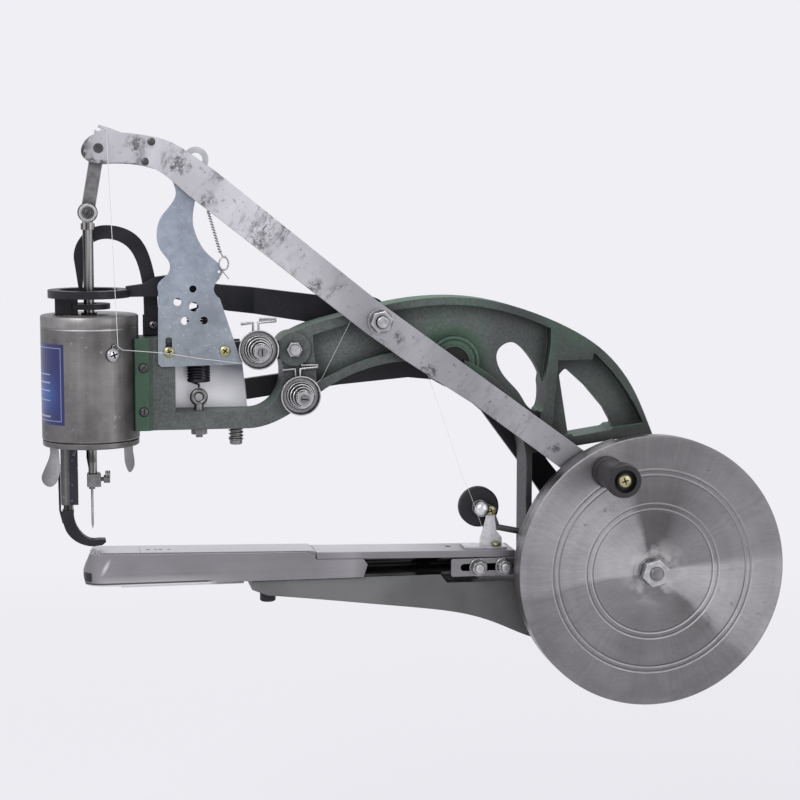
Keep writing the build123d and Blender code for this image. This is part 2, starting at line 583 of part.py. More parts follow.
with BuildPart() as lever_rear_cheek:
    with BuildSketch(side(-CHEEK_BACK + CHEEK_T)):
        with BuildLine():
            Spline((-356.5, 384.5), (-370.0, 387.6), (-386.0, 388.2), (-399.0, 387.0), (-406.0, 381.0),
                   (-407.3, 373.5), (-401.0, 367.6), (-386.0, 366.6), (-368.0, 365.6), (-356.5, 362.8))
            Line((-356.5, 362.8), (-356.5, 384.5))
        make_face()
    extrude(amount=CHEEK_T)
    # spacer block the rivets pass through
    slab([(-374.0, 368.5), (-362.5, 366.2), (-362.5, 384.0), (-374.0, 385.5)], CHEEK_BACK, -CHEEK_BACK)
    round_bar(LINK_TOP, LINK_PIN_R, -30, 30, Mode.SUBTRACT)
save(lever_rear_cheek, "lever_rear_cheek")

with BuildPart() as link_pin:
    round_bar(LINK_TOP, LINK_PIN_R, CHEEK_BACK - LEVER_T - 0.8, -CHEEK_BACK + CHEEK_T + 0.8)
save(link_pin, "link_pin")

with BuildPart() as roller_pin:
    round_bar(ROLLER, ROLLER_PIN_R, -35.4, LEVER_BACK + 0.6)
    round_bar(ROLLER, 6.0, LEVER_BACK - LEVER_T - 1.0, LEVER_BACK - LEVER_T)
save(roller_pin, "roller_pin")

with BuildPart() as cam_roller:
    round_bar(ROLLER, ROLLER_R, -35.2, LEVER_BACK - LEVER_T - 1.0 - GAP)
    round_bar(ROLLER, ROLLER_PIN_R + RUN, -40, -20, Mode.SUBTRACT)
save(cam_roller, "cam_roller")

with BuildPart() as lever_pivot_stud:
    round_bar(PIVOT, STUD_R, LEVER_BACK - LEVER_T - GAP, BACK_BAR_Y + BACK_BAR_T + GAP)
    round_bar(PIVOT, 4.2, -38.0, -20.0)
    fillet(faces().sort_by(Axis.Y)[0].edges(), radius=0.8)
    round_bar(PIVOT, 9.0, BACK_BAR_Y + BACK_BAR_T + GAP, BACK_BAR_Y + BACK_BAR_T + 6.0)
save(lever_pivot_stud, "lever_pivot_stud")

with BuildPart() as lever_pivot_nut:
    round_bar(PIVOT, 9.4, -28.3, LEVER_BACK - LEVER_T - GAP)
    with BuildSketch(side(-28.3)):
        with Locations(PIVOT):
            RegularPolygon(radius=8.2, side_count=6, rotation=12)
    extrude(amount=6.0)
    round_bar(PIVOT, 4.2, -40, 0, Mode.SUBTRACT)
    chamfer(faces().sort_by(Axis.Y)[0].edges(), length=0.5)
save(lever_pivot_nut, "lever_pivot_nut")

LINK_DX = LINK_TOP[0] - LINK_LOW[0]
LINK_DZ = LINK_TOP[1] - LINK_LOW[1]
LINK_LEN = math.hypot(LINK_DX, LINK_DZ)
LINK_TILT = math.degrees(math.atan2(LINK_DX, LINK_DZ))
with BuildPart() as needle_link:
    with BuildSketch(side(LINK_T / 2)):
        with Locations(((LINK_TOP[0] + LINK_LOW[0]) / 2, (LINK_TOP[1] + LINK_LOW[1]) / 2)):
            Rectangle(LINK_W, LINK_LEN, rotation=-LINK_TILT)
        with Locations(LINK_TOP, LINK_LOW):
            Circle(LINK_W / 2 + 1.2)
    extrude(amount=LINK_T)
    round_bar(LINK_TOP, LINK_PIN_R + RUN, -10, 10, Mode.SUBTRACT)
    round_bar(LINK_LOW, LINK_SCREW_R + OPEN_PIVOT, -10, 10, Mode.SUBTRACT)
save(needle_link, "needle_link")

# --- needle bar --------------------------------------------------------------------
with BuildPart() as needle_bar:
    upright((NEEDLE_X, 0), BAR_R, BAR_Z0, LINK_LOW[1] - 8.0)
    round_bar(LINK_LOW, 7.0, -7.0, 7.0)
    with BuildSketch(Plane.XY.offset(LINK_LOW[1] - 12.0)):
        with Locations((NEEDLE_X, 0)):
            Circle(5.0)
    extrude(amount=6.0)
    with BuildSketch(Plane.XY.offset(LINK_LOW[1] - 7.6)):
        with Locations((NEEDLE_X, 0)):
            Rectangle(30.0, LINK_T + 2 * GAP)
    extrude(amount=30.0, mode=Mode.SUBTRACT)
    round_bar(LINK_LOW, LINK_SCREW_R, -10, 10, Mode.SUBTRACT)
    # flat ground on the left of the lower end
    slab([(NEEDLE_X - 6.0, 158.0), (NEEDLE_X - BAR_R, 158.0), (NEEDLE_X - 2.4, 150.0),
          (NEEDLE_X - 2.4, 140.0), (NEEDLE_X - 6.0, 140.0)], -6.0, 6.0, Mode.SUBTRACT)
    upright((NEEDLE_X, 0), SPIGOT_R + RUN, BAR_Z0 - 1, BAR_Z0 + SPIGOT_LEN + 0.5, Mode.SUBTRACT)
save(needle_bar, "needle_bar")

with BuildPart() as link_screw:
    round_bar(LINK_LOW, LINK_SCREW_R, -7.5, 7.0)
    round_bar(LINK_LOW, 3.7, -10.0, -7.0)
    with BuildSketch(side(-8.2)):
        with Locations(LINK_LOW):
            RegularPolygon(radius=1.7, side_count=6)
    extrude(amount=2.0, mode=Mode.SUBTRACT)
save(link_screw, "link_screw")

with BuildPart() as needle_clamp:
    with BuildSketch(Plane.XY.offset(CLAMP_Z0)) as block:
        with Locations((-402.6, 0)):
            RectangleRounded(9.8, 9.0, 1.0)
    extrude(amount=BAR_Z0 - 0.1 - CLAMP_Z0)
    chamfer(faces().sort_by(Axis.Z)[-1].edges(), length=0.7)
    with BuildSketch(Plane.YZ.offset(-398.0)):
        with Locations((0, 141.8)):
            Circle(1.5)
    extrude(amount=3.5)
    with BuildSketch(Plane.YZ.offset(-395.6)):
        with Locations((0, 141.8)):
            Circle(2.9)
    extrude(amount=4.4)
    upright((NEEDLE_X, 0), 2.2, CLAMP_Z0 - 1.8, CLAMP_Z0)
    upright((NEEDLE_X, 0), SPIGOT_R, BAR_Z0 - 1, BAR_Z0 + SPIGOT_LEN)
    upright((NEEDLE_X, 0), NEEDLE_R, CLAMP_Z0 - 5, BAR_Z0 - 3, Mode.SUBTRACT)
save(needle_clamp, "needle_clamp")

with BuildPart() as needle:
    upright((NEEDLE_X, 0), NEEDLE_R, NEEDLE_TIP + 4.0, BAR_Z0 - 3)
    with BuildSketch(Plane.XY.offset(NEEDLE_TIP + 4.0)):
        with Locations((NEEDLE_X, 0)):
            Circle(NEEDLE_R)
    extrude(amount=-4.0, taper=11.5)
save(needle, "needle")

# --- flywheel ------------------------------------------------------------------------
WHEEL_BACK = WHEEL_FACE + WHEEL_T
RING_BACK = WHEEL_BACK + RING_T
with BuildPart() as flywheel_disc:
    round_bar((0, SHAFT_Z), WHEEL_R, WHEEL_FACE, WHEEL_BACK)
    chamfer(edges().filter_by(GeomType.CIRCLE), length=0.8)
    round_bar((0, SHAFT_Z), 15.0, WHEEL_FACE - 0.8, WHEEL_FACE)
    round_bar((0, SHAFT_Z), INNER_BOSS_R, WHEEL_BACK, RING_BACK - 0.5)
    round_bar((0, SHAFT_Z), SHAFT_R, WHEEL_FACE - 2, 0, Mode.SUBTRACT)
    round_bar(GRIP, GRIP_BOLT_R, WHEEL_FACE - 2, 0, Mode.SUBTRACT)
    # fine turned rings on the face
    for radius in GROOVES:
        with BuildSketch(side(WHEEL_FACE + 0.5)) as ring:
            with Locations((0, SHAFT_Z)):
                Circle(radius + 0.4)
                Circle(radius - 0.4, mode=Mode.SUBTRACT)
        extrude(amount=2.0, mode=Mode.SUBTRACT)
save(flywheel_disc, "flywheel_disc")

with BuildPart() as flywheel_ring:
    round_bar((0, SHAFT_Z), WHEEL_R - 4.0, WHEEL_BACK, RING_BACK)
    # full-radius part of the ring, ending in two steps
    with BuildSketch(side(RING_BACK)):
        with Locations((0, SHAFT_Z)):
            Circle(WHEEL_R)
        with BuildLine():
            Polyline((0, SHAFT_Z), (-0.5 * WHEEL_R, SHAFT_Z + 1.8 * WHEEL_R),
                     (2.2 * WHEEL_R, SHAFT_Z + 1.8 * WHEEL_R), (2.2 * WHEEL_R, SHAFT_Z - 1.2 * WHEEL_R),
                     (0.6 * WHEEL_R, SHAFT_Z - 2.0 * WHEEL_R), close=True)
        make_face(mode=Mode.SUBTRACT)
    extrude(amount=RING_T)
    round_bar((0, SHAFT_Z), RING_IN_R, -60, 0, Mode.SUBTRACT)
save(flywheel_ring, "flywheel_ring")

with BuildPart() as main_shaft:
    round_bar((0, SHAFT_Z), SHAFT_R, WHEEL_FACE, CAM_Y + CAM_T + 3)
    round_bar((0, SHAFT_Z), 5.0, WHEEL_FACE - NUT_T - 3.5, WHEEL_FACE)
    chamfer(faces().sort_by(Axis.Y)[0].edges(), length=0.8)
    round_bar((0, SHAFT_Z), 13.0, RING_BACK - 0.5, -HUB_HALF - GAP)
    round_bar((0, SHAFT_Z), 13.0, HUB_HALF + GAP, CAM_Y)
save(main_shaft, "main_shaft")

with BuildPart() as shaft_nut:
    round_bar((0, SHAFT_Z), NUT_R + 0.4, WHEEL_FACE - 2.0, WHEEL_FACE - 0.8)
    with BuildSketch(side(WHEEL_FACE - 2.0)):
        with Locations((0, SHAFT_Z)):
            RegularPolygon(radius=NUT_R, side_count=6, rotation=15)
    extrude(amount=NUT_T)
    chamfer(faces().sort_by(Axis.Y)[0].edges(), length=0.6)
    round_bar((0, SHAFT_Z), 5.0, -70, 0, Mode.SUBTRACT)
save(shaft_nut, "shaft_nut")

with BuildPart() as feed_cam:
    round_bar((CAM_THROW, SHAFT_Z), CAM_R, CAM_Y, CAM_Y + CAM_T)
    round_bar((0, SHAFT_Z), 13.0, CAM_Y, CAM_Y + CAM_T + 4)
    round_bar((0, SHAFT_Z), SHAFT_R, 0, 60, Mode.SUBTRACT)
save(feed_cam, "feed_cam")

GRIP_FRONT = WHEEL_FACE - 1.0 - GRIP_LEN
GRIP_RECESS = 6.0
with BuildPart() as grip_bolt:
    round_bar(GRIP, GRIP_BOLT_R, GRIP_FRONT + GRIP_RECESS - 0.5, WHEEL_BACK - 1.0)
    round_bar(GRIP, 5.2, GRIP_FRONT + GRIP_RECESS - 3.4, GRIP_FRONT + GRIP_RECESS - GAP)
save(grip_bolt, "grip_bolt")

with BuildPart() as crank_grip:
    with BuildSketch(Plane((GRIP[0], WHEEL_FACE, GRIP[1]), x_dir=(1, 0, 0), z_dir=(0, 0, 1))):
        with BuildLine():
            Polyline((0, -GRIP_LEN - 1.0), (11.4, -GRIP_LEN - 1.0))
            Spline((11.4, -GRIP_LEN - 1.0), (12.3, -GRIP_LEN + 2.5), (11.9, -GRIP_LEN + 14.0),
                   (10.7, -17.0), (10.3, -8.0))
            Polyline((10.3, -8.0), (11.4, -6.5), (11.4, -1.0), (0, -1.0), (0, -GRIP_LEN - 1.0))
        make_face()
    revolve(axis=Axis((GRIP[0], 0, GRIP[1]), (0, 1, 0)))
    round_bar(GRIP, GRIP_BOLT_R + RUN, -120, 0, Mode.SUBTRACT)
    round_bar(GRIP, 8.2, GRIP_FRONT - 1, GRIP_FRONT + GRIP_RECESS, Mode.SUBTRACT)
save(crank_grip, "crank_grip")

# --- black levers behind the frame -----------------------------------------------------
FORK_TOP_EDGE = [(-378.0, FORK_Z0 + 7.5), (-366.0, FORK_Z0 + 9.0), (-357.0, FORK_UNDER + 19.8),
                 (-346.0, FORK_UNDER + 21.3), (-330.0, FORK_UNDER + 17.8), (-312.0, FORK_UNDER + 13.8),
                 (-239.0, 271.0), (-206.0, 267.5)]
FORK_LOW_EDGE = [(-204.0, 241.6), (-248.0, 251.7), (-305.0, FORK_UNDER - 5.5), (EYE_X, FORK_UNDER),
                 (-342.0, FORK_UNDER + 3.8), (-354.0, FORK_Z0 + 0.1), (-378.0, FORK_Z0)]
with BuildPart() as fork_lever:
    with BuildSketch(side(40.0)):
        with BuildLine():
            Polyline(*FORK_TOP_EDGE)
            ThreePointArc(FORK_TOP_EDGE[-1], (-185.0, 253.5), FORK_LOW_EDGE[0])
            Polyline(*FORK_LOW_EDGE)
            Line(FORK_LOW_EDGE[-1], FORK_TOP_EDGE[0])
        make_face()
    extrude(amount=60.0)
    with BuildSketch(Plane.XY.offset(PIVOT[1] - 60.0)):
        with BuildLine():
            Polyline((-390.0, -3.0), (-316.0, -3.0), (-284.0, BACK_BAR_Y), (-150.0, BACK_BAR_Y),
                     (-150.0, BACK_BAR_Y + BACK_BAR_T), (-287.0, BACK_BAR_Y + BACK_BAR_T),
                     (-319.0, 3.0), (-390.0, 3.0), close=True)
        make_face()
    extrude(amount=160.0, mode=Mode.INTERSECT)
    upright((NEEDLE_X, 0), FORK_R, FORK_Z0, FORK_Z0 + FORK_T)
    upright((NEEDLE_X, 0), FORK_IN_R, FORK_Z0 - 5, FORK_Z0 + 15, Mode.SUBTRACT)
    round_bar(PIVOT, STUD_R + RUN, 0, 60, Mode.SUBTRACT)
save(fork_lever, "fork_lever")

with BuildPart() as feed_pivot_stud:
    round_bar(FEED_PIVOT, FEED_STUD_R, -7.0, BACK_BAR_Y + BACK_BAR_T + GAP)
    round_bar(FEED_PIVOT, 10.0, BACK_BAR_Y + BACK_BAR_T + GAP, BACK_BAR_Y + BACK_BAR_T + 5.0)
save(feed_pivot_stud, "feed_pivot_stud")

with BuildPart() as feed_lever:
    slab([(-291.5, 210.0), (-290.0, 195.0), (-222.0, 204.5), (-170.0, 209.0), (-141.8, 206.0),
          (-113.6, 182.5), (-78.6, 135.0), (-50.0, 94.0), (-40.0, 86.0), (-27.0, 86.0), (-23.0, 95.0),
          (-62.0, 143.0), (-101.0, 200.0), (-124.0, 232.0), (-141.8, 241.0), (-158.0, 233.0),
          (-175.0, 226.0), (-222.0, 219.0)], BACK_BAR_Y, BACK_BAR_Y + BACK_BAR_T)
    round_bar(FEED_PIVOT, 18.0, BACK_BAR_Y, BACK_BAR_Y + BACK_BAR_T)
    round_bar(FOLLOWER, 8.0, BACK_BAR_Y, BACK_BAR_Y + BACK_BAR_T)
    round_bar(FOLLOWER, 4.0, BACK_BAR_Y, CAM_Y)
    round_bar(FOLLOWER, FOLLOWER_R, CAM_Y, CAM_Y + CAM_T)
    round_bar(FEED_PIVOT, FEED_STUD_R + RUN, 0, 60, Mode.SUBTRACT)
save(feed_lever, "feed_lever")

# --- horn ---------------------------------------------------------------------------------
def horn_line(x, drop):
    """Point on a line parallel to the horn's top, a given drop below it."""
    return (x, horn_top(x) - drop)


NOSE_R = 12.0


def round_nose(tip, front, back, radius, mode):
    """Plan outline of the horn, rounded at its tip, applied through the horn's height."""
    far = HORN_END + 50.0
    with BuildSketch(Plane.XY.offset(SHAFT_Z - 20.0)) as plan:
        with Locations(((tip + far) / 2, (front + back) / 2)):
            RectangleRounded(far - tip, back - front, radius)
    extrude(plan.sketch, amount=50.0, mode=mode)


with BuildPart() as horn_body:
    with BuildSketch(side(HORN_BACK)) as outer:
        with BuildLine():
            Polyline((HORN_NOSE + 5.0, BRACKET_TOP + 1.5), (HORN_NOSE + 25.0, BRACKET_TOP),
                     (HORN_END, BRACKET_TOP), horn_line(HORN_END, PLATE_T + STEP_DROP),
                     horn_line(STEP_X, PLATE_T + STEP_DROP), horn_line(STEP_X, PLATE_T),
                     horn_line(HORN_NOSE + 3.0, PLATE_T), (HORN_NOSE, BRACKET_TOP + 10.0), close=True)
        make_face()
    extrude(amount=HORN_BACK + HORN_HALF)
    # hollow, open toward the operator and at the rear end
    slab([(HORN_NOSE + 7.0, BRACKET_TOP + WALL), (HORN_END + 1, BRACKET_TOP + WALL),
          horn_line(HORN_END + 1, PLATE_T + STEP_DROP + ROOF),
          horn_line(STEP_X, PLATE_T + STEP_DROP + ROOF),
          horn_line(HORN_NOSE + 7.0, PLATE_T + ROOF)], -HORN_HALF - 1, HORN_BACK - WALL, Mode.SUBTRACT)
    round_nose(HORN_NOSE, -HORN_HALF, HORN_BACK, NOSE_R, Mode.INTERSECT)
    # long ledge on the back wall
    slab([(-236.0, 73.2), (HORN_END - 4, 73.2), (HORN_END - 4, 70.9), (-236.0, 70.9)], 7.5, HORN_BACK)
    # two guides for the shuttle rod
    for x in ROD_GUIDES:
        slab([(x - 4.0, BRACKET_TOP + 1), (x + 4.0, BRACKET_TOP + 1), (x + 4.0, ROD_Z + ROD_R + 1.4),
              (x - 4.0, ROD_Z + ROD_R + 1.4)], ROD_Y - 4.0, HORN_BACK - 1)
        with BuildSketch(Plane.YZ.offset(x - 5.0)):
            with Locations((ROD_Y, ROD_Z)):
                Circle(ROD_R + RUN)
        extrude(amount=10.0, mode=Mode.SUBTRACT)
    upright((NEEDLE_X, 0), 3.2, 70.0, 100.0, Mode.SUBTRACT)
    upright((HORN_BOLT_X, 0), HORN_BOLT_R, 60.0, BRACKET_TOP + WALL + 1, Mode.SUBTRACT)
save(horn_body, "horn_body")

PLATE_SPLIT = -371.0
with BuildPart() as needle_plate:
    slab([horn_line(HORN_NOSE + 3.0, PLATE_T), horn_line(PLATE_SPLIT, PLATE_T),
          horn_line(PLATE_SPLIT, 0), horn_line(HORN_NOSE + 5.5, 0), horn_line(HORN_NOSE + 3.0, 2.5)],
         -HORN_HALF, HORN_BACK)
    round_nose(HORN_NOSE, -HORN_HALF, HORN_BACK, NOSE_R, Mode.INTERSECT)
    upright((NEEDLE_X, 0), 1.9, 70.0, 100.0, Mode.SUBTRACT)
    with BuildSketch(Plane.XY.offset(70.0)):
        with Locations((NEEDLE_X - 3.0, 0)):
            Rectangle(6.0, 1.2)
    extrude(amount=30.0, mode=Mode.SUBTRACT)
save(needle_plate, "needle_plate")

with BuildPart() as horn_top_plate:
    slab([horn_line(PLATE_SPLIT + 0.2, PLATE_T), horn_line(STEP_X, PLATE_T), horn_line(STEP_X, 1.2),
          horn_line(STEP_X - 3.0, 0), horn_line(PLATE_SPLIT + 0.2, 0)], -HORN_HALF, HORN_BACK)
    for x in (-365.0, -356.0):
        upright((x, -2.0), 1.6, 80.0, 100.0, Mode.SUBTRACT)
save(horn_top_plate, "horn_top_plate")

REAR_PLATE_END = -96.3
with BuildPart() as rear_top_plate:
    slab([horn_line(STEP_X + 0.2, PLATE_T + STEP_DROP), horn_line(REAR_PLATE_END, PLATE_T + STEP_DROP),
          horn_line(REAR_PLATE_END, STEP_DROP), horn_line(STEP_X + 0.2, STEP_DROP)],
         -HORN_HALF - 1.5, HORN_BACK)
    upright((-143.0, 3.0), 2.4, 70.0, 100.0, Mode.SUBTRACT)
save(rear_top_plate, "rear_top_plate")

COVER_BACK = -HORN_HALF - GAP
COVER_WRAP = -2.0             # where the bent sheet ends on the nose
with BuildPart() as front_cover:
    with BuildSketch(side(COVER_WRAP)) as cover:
        with BuildLine():
            Polyline((HORN_NOSE - 1.0, BRACKET_TOP + 0.4), (HORN_NOSE + 26.0, BRACKET_TOP - 0.4),
                     (-340.0, BRACKET_TOP - 0.4), (BRACKET_LEFT - 2, BRACKET_TOP + GAP),
                     (COVER_END, BRACKET_TOP + GAP), (COVER_END + 3.0, 76.0),
                     horn_line(COVER_END, PLATE_T + STEP_DROP + GAP),
                     horn_line(STEP_X - 0.5, PLATE_T + STEP_DROP + GAP),
                     horn_line(STEP_X - 1.5, 3.5), horn_line(STEP_X - 8.0, 0.8),
                     horn_line(HORN_NOSE + 2.0, 0.8), (HORN_NOSE - 1.0, 81.0), (HORN_NOSE - 3.0, 75.0),
                     close=True)
        make_face()
        fillet(cover.vertices().sort_by(Axis.X)[:2], radius=1.5)
    extrude(amount=COVER_WRAP - COVER_BACK + COVER_T)
    # the sheet is bent round the front of the nose
    round_nose(HORN_NOSE - GAP - COVER_T, COVER_BACK - COVER_T, HORN_BACK + GAP + COVER_T,
               NOSE_R + GAP + COVER_T, Mode.INTERSECT)
    round_nose(HORN_NOSE - GAP, COVER_BACK, HORN_BACK + GAP, NOSE_R + GAP, Mode.SUBTRACT)
    # lip hooked under the body, kept short of the bracket
    slab([(HORN_NOSE + 24.0, BRACKET_TOP - GAP), (BRACKET_LEFT - 6, BRACKET_TOP - GAP),
          (BRACKET_LEFT - 6, BRACKET_TOP - 1.3), (HORN_NOSE + 24.0, BRACKET_TOP - 1.3)],
         -HORN_HALF - GAP - 1.0, -HORN_HALF + 6.0)
save(front_cover, "front_cover")

with BuildPart() as horn_bolt:
    upright((HORN_BOLT_X, 0), HORN_BOLT_R, 50.0, BRACKET_TOP + WALL)
    upright((HORN_BOLT_X, 0), 5.8, 48.6, 54.4)
    chamfer(faces().sort_by(Axis.Z)[0].edges(), length=0.8)
save(horn_bolt, "horn_bolt")

with BuildPart() as slotted_plate:
    with BuildSketch(side(-HORN_HALF)) as strip:
        with Locations((-117.5, 71.3)):
            RectangleRounded(53.5, 13.0, 1.6)
        with Locations((-117.5, 71.3)):
            SlotCenterToCenter(34.0, 5.6, mode=Mode.SUBTRACT)
    extrude(amount=2.6)
save(slotted_plate, "slotted_plate")

with BuildPart() as shuttle_race:
    with BuildSketch(side(-1.0)):
        with Locations(SHUTTLE):
            Circle(SHUTTLE_R + 1.4)
            Circle(SHUTTLE_R + RUN, mode=Mode.SUBTRACT)
        with Locations((SHUTTLE[0], SHUTTLE[1] + 10.0)):
            Rectangle(9.0, 14.0, mode=Mode.SUBTRACT)
        with Locations((SHUTTLE[0], BRACKET_TOP + WALL - 5.0)):
            Rectangle(30.0, 10.0, mode=Mode.SUBTRACT)
    extrude(amount=7.0)
    slab([(SHUTTLE[0] + 6.5, BRACKET_TOP + WALL), (SHUTTLE[0] + 13.0, BRACKET_TOP + WALL),
          (SHUTTLE[0] + 13.0, SHUTTLE[1] + 2.0), (SHUTTLE[0] + 6.9, SHUTTLE[1] + 2.0)], -8.0, -1.0)
    slab([(SHUTTLE[0] - 4.0, BRACKET_TOP + WALL), (SHUTTLE[0] + 8.0, BRACKET_TOP + WALL),
          (SHUTTLE[0] + 7.2, SHUTTLE[1] - 3.0), (SHUTTLE[0] + 4.0, SHUTTLE[1] - 6.9),
          (SHUTTLE[0] - 4.0, SHUTTLE[1] - 6.9)], -8.0, -1.0)
save(shuttle_race, "shuttle_race")

with BuildPart() as shuttle:
    round_bar(SHUTTLE, SHUTTLE_R, -9.5, -2.0)
    round_bar(SHUTTLE, BOBBIN_R + RUN, -12.0, -4.0, Mode.SUBTRACT)
    round_bar(SHUTTLE, 1.2, -9.0, -3.0)
    round_bar(SHUTTLE, PINION_R, -2.0, ROD_Y + 2.5)
    # hook point
    slab([(SHUTTLE[0] - 3.4, SHUTTLE[1] + 5.0), (SHUTTLE[0] - 1.0, SHUTTLE[1] + 5.4),
          (SHUTTLE[0] - 1.0, SHUTTLE[1] + 10.0), (SHUTTLE[0] - 3.4, SHUTTLE[1] + 10.0)],
         -12.0, -6.5, Mode.SUBTRACT)
save(shuttle, "shuttle")

with BuildPart() as bobbin:
    round_bar(SHUTTLE, BOBBIN_R, -5.0, -4.2)
    round_bar(SHUTTLE, BOBBIN_R, -9.0, -8.2)
    round_bar(SHUTTLE, 2.6, -9.0, -4.2)
    round_bar(SHUTTLE, 1.2 + RUN, -12.0, 0.0, Mode.SUBTRACT)
save(bobbin, "bobbin")

with BuildPart() as shuttle_rod:
    with BuildSketch(Plane.YZ.offset(-384.0)):
        with Locations((ROD_Y, ROD_Z)):
            Circle(ROD_R)
    extrude(amount=384.0 - 104.0)
    # rack under the shuttle's pinion, and the driving block at the rear end
    slab([(-398.5, RACK_TOP - 2.5), (-380.0, RACK_TOP - 2.5), (-380.0, RACK_TOP), (-398.5, RACK_TOP)],
         ROD_Y - 2.5, ROD_Y + 2.5)
    with Locations((-110.0, ROD_Y, ROD_Z)):
        Box(12.0, 6.0, 5.0)
save(shuttle_rod, "shuttle_rod")

# --- thread tensions ------------------------------------------------------------------------
def tension_stack(centre, seat):
    """Post with a pair of dished discs, standing toward the operator from depth seat."""
    round_bar(centre, POST_R, seat - POST_LEN, seat + 4.0)
    round_bar(centre, DISC_SPACER_R, seat - DISC_SPACER_T, seat)
    for k in range(2):
        back = seat - DISC_SPACER_T - 1.7 * k
        round_bar(centre, DISC_R, back - 1.1, back)
        round_bar(centre, DISC_R - 4.0, back - 1.7, back - 1.1)


def tension_nut(centre, seat):
    """Slotted hexagon nut near the end of the post."""
    front = seat - POST_LEN + 2.5
    with BuildSketch(side(front + TENSION_NUT_T)) as hexagon:
        with Locations(centre):
            RegularPolygon(radius=TENSION_NUT_R, side_count=6, rotation=20)
    extrude(hexagon.sketch, amount=TENSION_NUT_T)
    round_bar(centre, POST_R + RUN, front - 5, front + 20, Mode.SUBTRACT)


def wire(points, radius):
    """Bent round wire along straight runs joined by small bends."""
    with BuildLine() as path:
        FilletPolyline(*points, radius=1.05 * radius)
    with BuildSketch(Plane(path.line @ 0, z_dir=path.line % 0)) as section:
        Circle(radius)
    sweep(section.sketch, path=path.line)


def thread_hook(centre, seat):
    """Flattened T of wire that passes behind the discs, over the spacer on the post."""
    x, z = centre
    y = seat - DISC_SPACER_T / 2
    saddle = z + DISC_SPACER_R + HOOK_WIRE_R
    wire([(x - 13.0, y, z + 18.4), (x - 2.4, y, z + 19.4), (x - 2.4, y, saddle), (x + 2.6, y, saddle),
          (x + 2.6, y, z + 19.6), (x + 13.2, y, z + 19.9), (x + 13.2, y, z + 22.2), (x + 1.6, y, z + 22.0)],
         HOOK_WIRE_R)


UPPER_SEAT = TIE_FRONT
LOWER_SEAT = -FRAME_HALF
with BuildPart() as upper_tension_post:
    tension_stack(TENSIONS["upper"], UPPER_SEAT)
save(upper_tension_post, "upper_tension_post")

with BuildPart() as lower_tension_post:
    tension_stack(TENSIONS["lower"], LOWER_SEAT)
save(lower_tension_post, "lower_tension_post")

with BuildPart() as upper_tension_nut:
    tension_nut(TENSIONS["upper"], UPPER_SEAT)
save(upper_tension_nut, "upper_tension_nut")

with BuildPart() as lower_tension_nut:
    tension_nut(TENSIONS["lower"], LOWER_SEAT)
save(lower_tension_nut, "lower_tension_nut")

# --- bobbin winder -----------------------------------------------------------------------------
WINDER_BASE_X0 = -133.0
WINDER_BASE_X1 = -101.0
WINDER_FRONT = -6.0
BRACKET_T = 1.6
EYE_R = 3.3           # leaf's eye and the arm's eye round the winder pivot
SPINDLE_NOSE_R = 3.8
with BuildPart() as winder_bracket:
    slab([horn_line(WINDER_BASE_X0, STEP_DROP), horn_line(WINDER_BASE_X1, STEP_DROP),
          horn_line(WINDER_BASE_X1, STEP_DROP - BRACKET_T), horn_line(WINDER_BASE_X0, STEP_DROP - BRACKET_T)],
         WINDER_FRONT - 4.0, WINDER_FRONT + 14.0)
    with BuildSketch(side(WINDER_FRONT + BRACKET_T)):
        with BuildLine():
            Polyline((-120.5, 84.0), (-104.0, 84.0), (-104.0, 91.2), (-108.0, 96.0), (-109.4, 106.0),
                     (WINDER_PIVOT[0] + EYE_R, WINDER_PIVOT[1]), (WINDER_PIVOT[0] - EYE_R, WINDER_PIVOT[1]),
                     (-116.3, 106.0), (-118.8, 96.0), (-120.5, 91.2), close=True)
        make_face()
        with Locations(WINDER_PIVOT):
            Circle(EYE_R)
    extrude(amount=BRACKET_T)
    round_bar(WINDER_PIVOT, 2.0, -20, 20, Mode.SUBTRACT)
save(winder_bracket, "winder_bracket")

ARM_FRONT = WINDER_FRONT + BRACKET_T + GAP
ARM_T = 3.0
TAIL_R = 2.3
with BuildPart() as winder_arm:
    # pear-shaped link from the spindle to the pivot, with a leg down to the tail rod
    with BuildSketch(side(ARM_FRONT + ARM_T)):
        with Locations(SPINDLE):
            Circle(SPINDLE_NOSE_R + 1.1)
        with Locations(WINDER_PIVOT):
            Circle(EYE_R)
        make_hull()
    extrude(amount=ARM_T)
    slab([(-115.0, 110.0), (-109.5, 99.5), (-106.2, 96.5), (-105.6, 101.0), (-109.8, 112.0)],
         ARM_FRONT, ARM_FRONT + ARM_T)
    round_bar(SPINDLE, SPINDLE_NOSE_R, WINDER_FRONT - 2.0, ARM_FRONT)
    round_bar(WINDER_PIVOT, 2.0 - RUN, WINDER_FRONT - 0.8, ARM_FRONT + 1)
    round_bar(WINDER_PIVOT, 3.4, WINDER_FRONT - 2.4, WINDER_FRONT - GAP)
    round_bar(SPINDLE, 3.0, ARM_FRONT, 13.0)
    # tail rod
    with BuildLine() as tail:
        Line((-107.5, ARM_FRONT + TAIL_R, 98.4), (-90.5, ARM_FRONT + TAIL_R, 94.8))
    with BuildSketch(Plane(tail.line @ 0, z_dir=tail.line % 0)):
        Circle(TAIL_R)
    sweep(path=tail.line)
save(winder_arm, "winder_arm")

with BuildPart() as winder_wheel:
    round_bar(SPINDLE, WINDER_R, ARM_FRONT + ARM_T + GAP, ARM_FRONT + 11.5)
    chamfer(edges().filter_by(GeomType.CIRCLE), length=1.2)
    round_bar(SPINDLE, 5.6, ARM_FRONT + 11.5, ARM_FRONT + 14.0)
    round_bar(SPINDLE, 3.0 + RUN, -40, 40, Mode.SUBTRACT)
save(winder_wheel, "winder_wheel")

